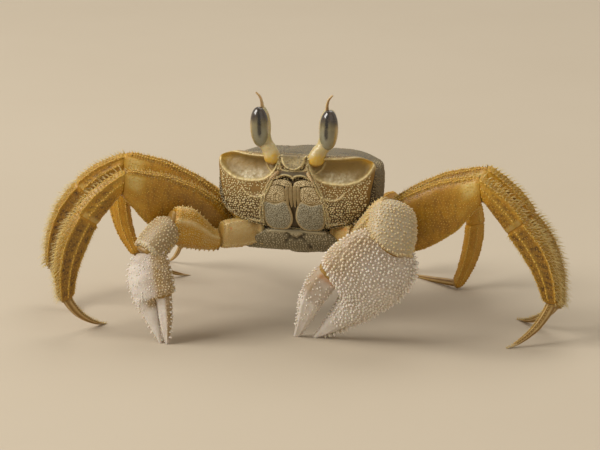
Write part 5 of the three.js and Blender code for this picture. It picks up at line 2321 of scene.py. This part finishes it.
@dataclass(frozen=True)
class ClawArm:
    """One claw arm: three arm joints, the hand with its fixed finger, and the movable finger."""

    name: str
    hand: Hand
    root: Place
    ischium_end: Place
    elbow: Place
    wrist: Place
    tips: Place
    across: Place
    base_size: tuple[float, float]
    merus_size: tuple[float, float]
    carpus_size: tuple[float, float]
    palm_length: float
    palm_height: float
    palm_thickness: float
    crotch: float
    reach: float
    finger_root: float
    finger_rise: float
    finger_height: float
    look: HandLook
    gap: float = 0.3
    base_swell: Table = (
        (0.0, 1.1, 1.1), (0.08, 1.14, 1.14), (0.16, 0.94, 0.94), (0.5, 1.0, 1.0), (1.0, 1.0, 1.0),
    )
    wrist_tilt: float = 0.0
    cuff: Place = (0.0, 0.0, 0.0)
    cuff_angle: float = 0.0
    cuff_width: float = 48.0
    carpus_grain: float = 0.28
    arm_swell: Table = ((0.0, 0.6, 0.7), (0.3, 0.82, 0.9), (0.75, 1.0, 1.0), (1.0, 0.86, 0.88))
    merus_spine: Table = ((0.0, 0.0), (1.0, 0.0))
    carpus_swell: Table = (
        (-0.14, 0.42, 0.45), (0.04, 0.78, 0.8), (0.35, 0.97, 1.0), (0.7, 1.0, 1.0), (1.0, 0.84, 0.8),
    )
    lower_edge: Table = (
        (0.0, 0.2), (0.09, 0.38), (0.18, 0.46), (0.33, 0.5), (0.5, 0.44), (0.7, 0.31), (0.88, 0.19),
        (1.0, 0.1),
    )
    upper_edge: Table = ((0.0, 0.36), (0.1, 0.48), (0.28, 0.51))
    knuckle: float = 0.42
    thickness: Table = ((0.0, 0.62), (0.15, 0.86), (0.3, 1.0), (0.5, 0.82), (0.7, 0.5), (1.0, 0.14))
    finger_path: Table = (
        (0.0, 1.0, 1.0, 0.5), (0.15, 0.95, 0.95, 0.45), (0.5, 0.74, 0.82, 0.34), (0.82, 0.5, 0.48, 0.22),
        (1.0, 0.3, 0.18, 0.11),
    )
    arm_rows: tuple[int, int] = (56, 84)
    carpus_columns: int = 90
    palm_rows: int = 150
    palm_columns: int = 124
    finger_rows: int = 110
    finger_columns: int = 64

    def arm(self) -> dict[str, Limb]:
        """The three joints of the arm.

        Returns:
            The joints by name.
        """
        places = (self.root, self.ischium_end, self.elbow, self.wrist, self.across)
        root, bend, elbow, wrist, across = map(np.array, places)
        normal = unit(unit(bend - root) + unit(elbow - bend))
        before = Plane(bend - normal * self.gap / 2, normal)
        after = Plane(bend + normal * self.gap / 2, normal)
        cuff = None
        if self.wrist_tilt:
            cuff = Plane(wrist, unit(unit(wrist - elbow) + self.wrist_tilt * across))
        short, long = self.arm_rows
        return {
            "base": Limb(
                root, bend, VERTICAL, swelled(self.base_swell, *self.base_size), self.hand, None, before,
                ridges=(Ridge(60, 0.2, 8), Ridge(-40, 0.15, 8)), bands=self.look.base, rows=short),
            "merus": Limb(
                bend, elbow, VERTICAL, swelled(self.arm_swell, *self.merus_size), self.hand, after,
                ridges=(Ridge(88, 0.3, 7), Ridge(-75, 0.3, 7), Ridge(20, 0.3, 8)), bands=self.look.merus,
                rows=long, spine=self.merus_spine),
            "carpus": Limb(
                elbow, wrist, across, swelled(self.carpus_swell, *self.carpus_size), Hand(-self.hand.value),
                last=cuff, ridges=(Ridge(-60, 0.15, 12),), bands=self.look.carpus, rows=long,
                columns=self.carpus_columns),
        }

    def axis(self) -> Array:
        """Direction of the hand from the wrist to the finger tips."""
        return unit(np.array(self.tips) - np.array(self.wrist))

    def palm(self) -> Limb:
        """The hand with its fixed finger.

        Returns:
            The limb.
        """
        wrist, axis = np.array(self.wrist), self.axis()
        places = np.linspace(0, 1, 60)
        edge = (*self.upper_edge, (self.finger_root, self.knuckle), (self.crotch, 0.04), (1.0, -0.06))
        upper = follow(edge, places) * self.palm_height
        lower = -follow(self.lower_edge, places) * self.palm_height
        thick = follow(self.thickness, places) * self.palm_thickness
        return Limb(
            wrist + axis * self.reach, wrist + axis * self.palm_length, np.array(self.across),
            tuple(zip(places, upper - lower, thick)), Hand(-self.hand.value), last=FLOOR_PLANE,
            bands=self.look.palm, rows=self.palm_rows, columns=self.palm_columns, power=2.3, rim=0.0,
            spine=tuple(zip(places, (upper + lower) / 2)), blend=TIP_BLEND, ridges=(Ridge(-20, 0.12, 14),),
        )

    def finger(self) -> Limb:
        """The movable finger.

        Returns:
            The limb.
        """
        wrist, axis = np.array(self.wrist), self.axis()
        path = np.array(self.finger_path)
        high, thick = path[:, 2] * self.finger_height, path[:, 3] * self.palm_thickness
        return Limb(
            wrist + axis * self.finger_root * self.palm_length, wrist + axis * self.palm_length,
            np.array(self.across), tuple(zip(path[:, 0], high, thick)), Hand(-self.hand.value),
            last=FLOOR_PLANE, bands=self.look.finger, rows=self.finger_rows, columns=self.finger_columns,
            rim=0.0, spine=tuple(zip(path[:, 0], path[:, 1] * self.finger_rise)), blend=TIP_BLEND,
            ridges=(Ridge(90, 0.15, 14), Ridge(35, 0.14, 9), Ridge(-20, 0.14, 9)),
        )

    def build(self, bench: Bench) -> None:
        """Make the arm, the hand and its finger, with their tubercles, spines and teeth.

        Args:
            bench: Where pieces are made.
        """
        name = f"claw_{self.name}"
        rng = np.random.default_rng(SEED + 70 + self.hand.value)
        limbs = self.arm()
        skins = {part: limb.surface() for part, limb in limbs.items()}
        skins["carpus"] = self._cuffed(limbs["carpus"], skins["carpus"])
        for part, skin in skins.items():
            bench.attach(f"{name}_{part}_skin", socketed(skin).shell(), ARM, f"{name}_{part}")
        palm, finger = self.palm(), self.finger()
        palm_skin, finger_skin = palm.surface(), finger.surface()
        knuckle = hump(palm.shares(), self.finger_root - 0.05, 0.05) * hump(palm.angles(), 62, 26)
        palm_skin = palm_skin.raised(0.5 * knuckle + 0.12 * lump_noise(palm_skin.grid, 2.4, 43))
        bench.attach(f"{name}_palm_skin", palm_skin.shell(), CLAW, f"{name}_palm")
        bench.attach(f"{name}_finger_skin", finger_skin.shell(), CLAW, f"{name}_finger")
        self._coat_arm(bench, limbs, skins, rng)
        self._coat_hand(bench, palm, palm_skin, finger, finger_skin, rng)
        hinge = [
            collar(skins["base"].ring(1.0), skins["merus"].ring(0.0), 0.97),
            self._hinge(skins["merus"], 0.99, 0.86), self._hinge(skins["carpus"], 0.99, 0.78),
            self._hinge(finger_skin, 0.03, 1.05),
        ]
        bench.attach(f"{name}_joint_skin", Shell.joined([one.shell() for one in hinge]), MEMBRANE)

    def _cuffed(self, limb: Limb, skin: Surface) -> Surface:
        """The carpus with the flap that hangs from its end over the hand.

        Args:
            limb: The carpus.
            skin: Its skin.

        Returns:
            The skin with the flap.
        """
        away = wrapped(limb.angles() - self.cuff_angle)
        reach = ramp(0.3, 1.0, limb.shares()) ** 1.5 * hump(away, 0.0, self.cuff_width)
        return Surface(skin.grid + reach[..., None] * np.array(self.cuff), skin.tints)

    @staticmethod
    def _hinge(skin: Surface, share: float, size: float) -> Surface:
        """A soft ring where one joint enters the next, with painted shade towards both its edges.

        Args:
            skin: The joint's skin.
            share: Where the ring lies along it.
            size: Its size beside the joint's own.

        Returns:
            The ring.
        """
        middle = skin.ring(share).mean(0)
        ahead = unit(skin.ring(1.0).mean(0) - skin.ring(0.0).mean(0))
        turn = np.linspace(0, math.pi, 12)
        swell = size * (1 - 0.12 * (1 - np.sin(turn)))
        rings = middle + (skin.ring(share) - middle) * swell[:, None, None]
        rings = rings - ahead * (np.cos(turn) * 0.9)[:, None, None]
        return Surface(rings, {"hollow": all_round(np.abs(np.cos(turn)), rings.shape[1]) * 0.6})

    def _coat_arm(self, bench: Bench, limbs: dict[str, Limb], skins: dict[str, Surface],
                  rng: np.random.Generator) -> None:
        """Grow the arm's granules and spines.

        Args:
            bench: Where pieces are made.
            limbs: The arm's joints.
            skins: Their skins.
            rng: Source of unevenness.
        """
        grains, sizes, heights = [], [], []
        plans = {"base": (0.6, 0.16, (60.0, -40.0)), "merus": (0.58, 0.19, (88.0, -75.0)),
                 "carpus": (0.86, self.carpus_grain, (-112.0, -100.0, -88.0, 100.0))}
        for number, (part, (spacing, radius, edges)) in enumerate(plans.items()):
            cell = Cell(number, 0, 3, 1)
            scattered = spread(skins[part], spacing, rng, cell, (0.05, 0.95), "tone")
            teeth = limbs[part].ridge_spots(skins[part], 0.95, rng, cell, edges, (0.08, 0.94))
            rim = spread(skins[part], 0.7, rng, cell, (0.955, 0.975), "tone")
            kinds = ((scattered, radius, 0.95), (teeth, radius * 1.3, 2.0), (rim, radius * 1.2, 1.9))
            for spots, size, high in kinds:
                grains.append(spots)
                sizes.append(size * rng.uniform(0.75, 1.2, len(spots.points)))
                heights.append(sizes[-1] * high)
        size, height = np.concatenate(sizes), np.concatenate(heights)
        grown = SPINE.grown(Spots.gathered(grains), size, height, rng.uniform(0.1, 0.6, len(size)))
        bench.attach(f"claw_{self.name}_arm_granules", grown, ARM_GRAINS)

    @staticmethod
    def _thinned(spots: Spots, cover: float, rng: np.random.Generator) -> Spots:
        """Places kept by chance, most often where their tone is high.

        Args:
            spots: The places.
            cover: The least chance of a place.
            rng: Source of chance.

        Returns:
            Those kept.
        """
        return spots.kept(rng.uniform(0, 1, len(spots.points)) < np.maximum(cover, spots.tone))

    def _coat_hand(self, bench: Bench, palm: Limb, palm_skin: Surface, finger: Limb, finger_skin: Surface,
                   rng: np.random.Generator) -> None:
        """Grow the hand's tubercles, the spines along its edges and the teeth of both fingers.

        Args:
            bench: Where pieces are made.
            palm: The hand.
            palm_skin: Its skin.
            finger: The movable finger.
            finger_skin: Its skin.
            rng: Source of unevenness.
        """
        look = self.look
        left, right = Cell(0, 0, 2, 1), Cell(1, 0, 2, 1)
        knobs = spread(palm_skin, look.spacing, rng, left, (0.02, look.bare_share), "tan")
        knobs = self._thinned(knobs, look.palm_cover, rng)
        fine = spread(palm_skin, 0.66, rng, left, (0.02, 0.86), "tan")
        on_finger = spread(finger_skin, look.spacing * 0.85, rng, right, (0.1, 0.8), "tan")
        on_finger = self._thinned(on_finger, 0.35, rng)
        rows = (-108.0, -98.0, -88.0, -78.0, -68.0)
        low_edge = palm.ridge_spots(palm_skin, 1.15, rng, left, rows, (0.05, 0.93))
        high_edge = palm.ridge_spots(palm_skin, 1.1, rng, left, (90.0,), (0.04, self.finger_root))
        finger_edge = finger.ridge_spots(finger_skin, 1.0, rng, right, (90.0, 76.0), (0.1, 0.9))
        palm_teeth = palm.ridge_spots(palm_skin, 0.9, rng, left, (90.0,), (self.crotch + 0.05, 0.97))
        finger_teeth = finger.ridge_spots(finger_skin, 0.85, rng, right, (-90.0,), (0.3, 0.96))
        plans = (
            (knobs, look.tubercle, 1.1), (fine, 0.11, 0.8), (on_finger, look.tubercle * 0.7, 1.0),
            (low_edge, look.spine, 2.3), (high_edge, 0.38, 1.8), (finger_edge, 0.3, 1.7),
            (palm_teeth, 0.3, 1.3), (finger_teeth, 0.28, 1.3),
        )
        size = np.concatenate([radius * rng.uniform(0.75, 1.2, len(spots.points))
                               for spots, radius, _ in plans])
        height = size * np.concatenate([np.full(len(spots.points), high) for spots, _, high in plans])
        spots = Spots.gathered([spots for spots, _, _ in plans])
        grown = KNOB.grown(spots, size, height, rng.uniform(0.0, 0.4, len(size)))
        bench.attach(f"claw_{self.name}_hand_tubercles", grown, CLAW_GRAINS)


MINOR_CLAW = ClawArm(
    "minor", Hand.RIGHT,
    root=(-9.6, -11.2, 24.2), ischium_end=(-18.4, -17.2, 23.9), elbow=(-28.9, -23.6, 27.7),
    wrist=(-33.6, -28.4, 21.8), tips=(-28.9, -31.2, 0.0), across=(0.95, -0.21, 0.23),
    base_size=(6.8, 5.2), merus_size=(8.8, 6.0), carpus_size=(8.0, 7.2),
    palm_length=21.9, palm_height=12.6, palm_thickness=6.6, crotch=0.53, reach=0.0,
    finger_root=0.46, finger_rise=2.3, finger_height=4.1,
    look=HandLook(
        base=(Band("pale", ALL_ROUND, (-0.1, 1.1), 0.75), Band("orange", (26, 36), (0.8, 0.84), 1.0, 7, 0.03),
              Band("crest", (0, 70), (0.3, 0.8), 0.3), Band("crest", ALL_ROUND, (-0.1, 0.1), 0.7)),
        merus=(Band("pale", (-20, 70), (0.0, 0.4), 0.3), Band("orange", (-80, -40), (0.2, 0.9), 0.15)),
        carpus=(Band("brown", ALL_ROUND, (-0.2, 1.1), 1.0), Band("white", (-180, -60), (0.35, 1.1), 0.7),
                Band("white", ALL_ROUND, (0.88, 1.1), 0.8), Band("tone", ALL_ROUND, (-0.2, 1.1), 0.8)),
        palm=(Band("tan", (22, 150), (0.0, 0.6), 0.85), Band("white", (-140, 0), (0.1, 1.1), 0.8),
              Band("white", ALL_ROUND, (0.62, 1.1), 1.0)),
        finger=(Band("tan", (30, 150), (-0.1, 0.92), 0.8), Band("white", (-100, 20), (0.1, 1.1), 0.8)),
        tubercle=0.22, spacing=0.72, bare_share=0.62,
    ),
    upper_edge=((0.0, 0.28), (0.1, 0.4), (0.28, 0.43)),
    base_swell=((0.0, 1.1, 1.1), (0.08, 1.14, 1.14), (0.16, 0.94, 0.94), (0.5, 1.02, 1.04), (0.8, 1.0, 1.0),
                (1.0, 0.84, 0.84)),
    arm_swell=((0.0, 0.44, 0.6), (0.16, 0.56, 0.74), (0.4, 0.82, 0.95), (0.7, 1.04, 1.04), (0.9, 0.98, 0.96),
               (1.0, 0.84, 0.84)),
    merus_spine=((0.0, -1.3), (0.16, -1.25), (0.4, -0.6), (0.7, 0.1), (1.0, 0.2)),
)
MAJOR_CLAW = ClawArm(
    "major", Hand.LEFT,
    root=(9.6, -11.2, 24.0), ischium_end=(15.4, -16.0, 25.2), elbow=(24.2, -20.0, 34.0),
    wrist=(25.4, -25.6, 27.0), tips=(3.6, -19.2, 0.0), across=(-0.78, -0.23, 0.58),
    base_size=(5.4, 5.0), merus_size=(6.6, 5.6), carpus_size=(11.8, 8.8),
    palm_length=34.6, palm_height=20.6, palm_thickness=9.0, crotch=0.59, reach=-1.6,
    finger_root=0.45, finger_rise=7.8, finger_height=5.2,
    look=HandLook(
        base=(Band("pale", ALL_ROUND, (-0.1, 1.1), 0.6), Band("orange", (30, 70), (0.5, 0.9), 0.4)),
        merus=(Band("pale", ALL_ROUND, (0.0, 1.1), 0.7), Band("orange", (-70, -10), (0.4, 1.0), 0.2),
               Band("tone", ALL_ROUND, (0.0, 1.1), 0.6)),
        carpus=(Band("brown", ALL_ROUND, (-0.2, 1.1), 0.95), Band("tone", ALL_ROUND, (-0.2, 1.1), 0.6),
                Band("white", ALL_ROUND, (-0.2, 1.1), 0.42)),
        palm=(Band("tan", (25, 150), (-0.1, 0.42), 0.6, 25), Band("orange", (48, 88), (0.4, 0.47), 0.4),
              Band("white", ALL_ROUND, (0.62, 1.1), 0.9), Band("white", (-90, -10), (0.3, 0.7), 0.5, 20)),
        finger=(Band("tan", (20, 150), (-0.1, 0.4), 0.5), Band("orange", (-40, 40), (-0.1, 0.12), 0.6),
                Band("white", ALL_ROUND, (0.5, 1.1), 0.8)),
        tubercle=0.4, spacing=0.98, bare_share=0.78, palm_cover=1.0, spine=0.48,
    ),
    upper_edge=((0.0, 0.2), (0.1, 0.37), (0.25, 0.47), (0.35, 0.49)),
    knuckle=0.46,
    finger_path=((0.0, 0.74, 1.34, 0.5), (0.2, 0.81, 1.3, 0.47), (0.5, 0.72, 1.12, 0.38),
                 (0.8, 0.47, 0.7, 0.26), (1.0, 0.26, 0.24, 0.12)),
    wrist_tilt=0.4,
    cuff=(-1.5, -3.0, -3.1),
    cuff_angle=8.0,
    cuff_width=72.0,
    thickness=((0.0, 0.4), (0.15, 0.66), (0.3, 0.98), (0.5, 0.84), (0.7, 0.5), (1.0, 0.14)),
    carpus_grain=0.34,
)


# ---------------------------------------------------------------- stage


@dataclass(frozen=True)
class SoftLight:
    """A square soft light: where it hangs about the crab, its size in metres, its power and its colour."""

    azimuth: float
    elevation: float
    distance: float
    size: float
    power: float
    colour: Colour = (1.0, 0.97, 0.92)


@dataclass(frozen=True)
class Stage:
    """A plain pale floor, soft lights and the camera."""

    target: Place = (0.00084, -0.01072, 0.024)
    azimuth: float = 12.0
    elevation: float = 16.0
    distance: float = 0.494
    lens: float = 120.0
    floor_size: float = 6.0
    floor_colour: Colour = srgb(196, 184, 164)
    floor_second: Colour = srgb(190, 177, 156)
    floor_roughness: float = 0.9
    floor_patches: float = 9.0
    sky: Colour = (0.80, 0.74, 0.66)
    sky_strength: float = 0.52
    lights: tuple[SoftLight, ...] = (
        SoftLight(-66.0, 42.0, 1.2, 0.7, 12.0),
        SoftLight(50.0, 35.0, 1.4, 1.0, 0.8),
        SoftLight(170.0, 60.0, 1.4, 1.0, 6.0),
    )

    @staticmethod
    def direction(azimuth: float, elevation: float) -> Vector:
        """The direction from the crab towards an azimuth, from its front, and an elevation."""
        turn, tilt = math.radians(azimuth), math.radians(elevation)
        return Vector((math.sin(turn) * math.cos(tilt), -math.cos(turn) * math.cos(tilt), math.sin(tilt)))

    def aimed(self, thing: bpy.types.Object, away: Vector, distance: float) -> None:
        """Put a light or the camera in a direction from the crab and turn it back to it.

        Args:
            thing: The light or camera.
            away: The direction from the crab.
            distance: How far off it is.
        """
        thing.location = Vector(self.target) + away * distance
        thing.rotation_euler = (-away).to_track_quat("-Z", "Y").to_euler()
        bpy.context.scene.collection.objects.link(thing)

    def floor(self) -> bpy.types.Object:
        """The plain floor, which isn't part of the model.

        Returns:
            The floor.
        """
        half = self.floor_size / 2
        mesh = bpy.data.meshes.new("stage_floor")
        corners = [(-half, -half, 0), (half, -half, 0), (half, half, 0), (-half, half, 0)]
        mesh.from_pydata(corners, [], [(0, 1, 2, 3)])
        material = bpy.data.materials.new("stage_floor")
        material.use_nodes = True
        wiring = Wiring(material.node_tree)
        where = wiring.node("ShaderNodeTexCoord").outputs["Object"]
        patches = wiring.noise(where, self.floor_patches, 4.0)
        colour = wiring.mixed(patches, (*self.floor_colour, 1), (*self.floor_second, 1))
        shader = material.node_tree.nodes["Principled BSDF"]
        shader.inputs["Roughness"].default_value = self.floor_roughness
        wiring.tree.links.new(colour, shader.inputs["Base Color"])
        mesh.materials.append(material)
        floor = bpy.data.objects.new("stage_floor", mesh)
        bpy.context.scene.collection.objects.link(floor)
        return floor

    def build(self) -> None:
        """Lay the floor, hang the lights and set up the camera."""
        bpy.context.scene.view_settings.view_transform = "Standard"
        self.floor()
        for number, light in enumerate(self.lights):
            lamp = bpy.data.lights.new(f"soft_light_{number}", "AREA")
            lamp.size = light.size
            lamp.energy = light.power
            lamp.color = light.colour
            piece = bpy.data.objects.new(lamp.name, lamp)
            self.aimed(piece, self.direction(light.azimuth, light.elevation), light.distance)
        world = bpy.data.worlds.new("pale_sky")
        bpy.context.scene.world = world
        world.use_nodes = True
        background = world.node_tree.nodes["Background"]
        background.inputs["Color"].default_value = (*self.sky, 1)
        background.inputs["Strength"].default_value = self.sky_strength
        camera = bpy.data.cameras.new("camera")
        camera.lens = self.lens
        camera.clip_start = 0.01
        camera.clip_end = 50.0
        holder = bpy.data.objects.new("camera", camera)
        self.aimed(holder, self.direction(self.azimuth, self.elevation), self.distance)
        bpy.context.scene.camera = holder


def main() -> None:
    """Build the crab's pieces and the stage."""
    logging.basicConfig(level=logging.INFO, format="%(name)s %(message)s")
    bench = Bench.over_the_frame(Eyes().cornea)
    for part in (Carapace(), Mouth(), Breastplate(), Abdomen(), Eyes(), Feelers(), MINOR_CLAW, MAJOR_CLAW):
        part.build(bench)
    for (hand, number), pose in LEG_POSES.items():
        WalkingLeg(hand, number, *LEG_SIZES[number], *pose).build(bench)
    Stage().build()


if __name__ == "__main__":
    main()
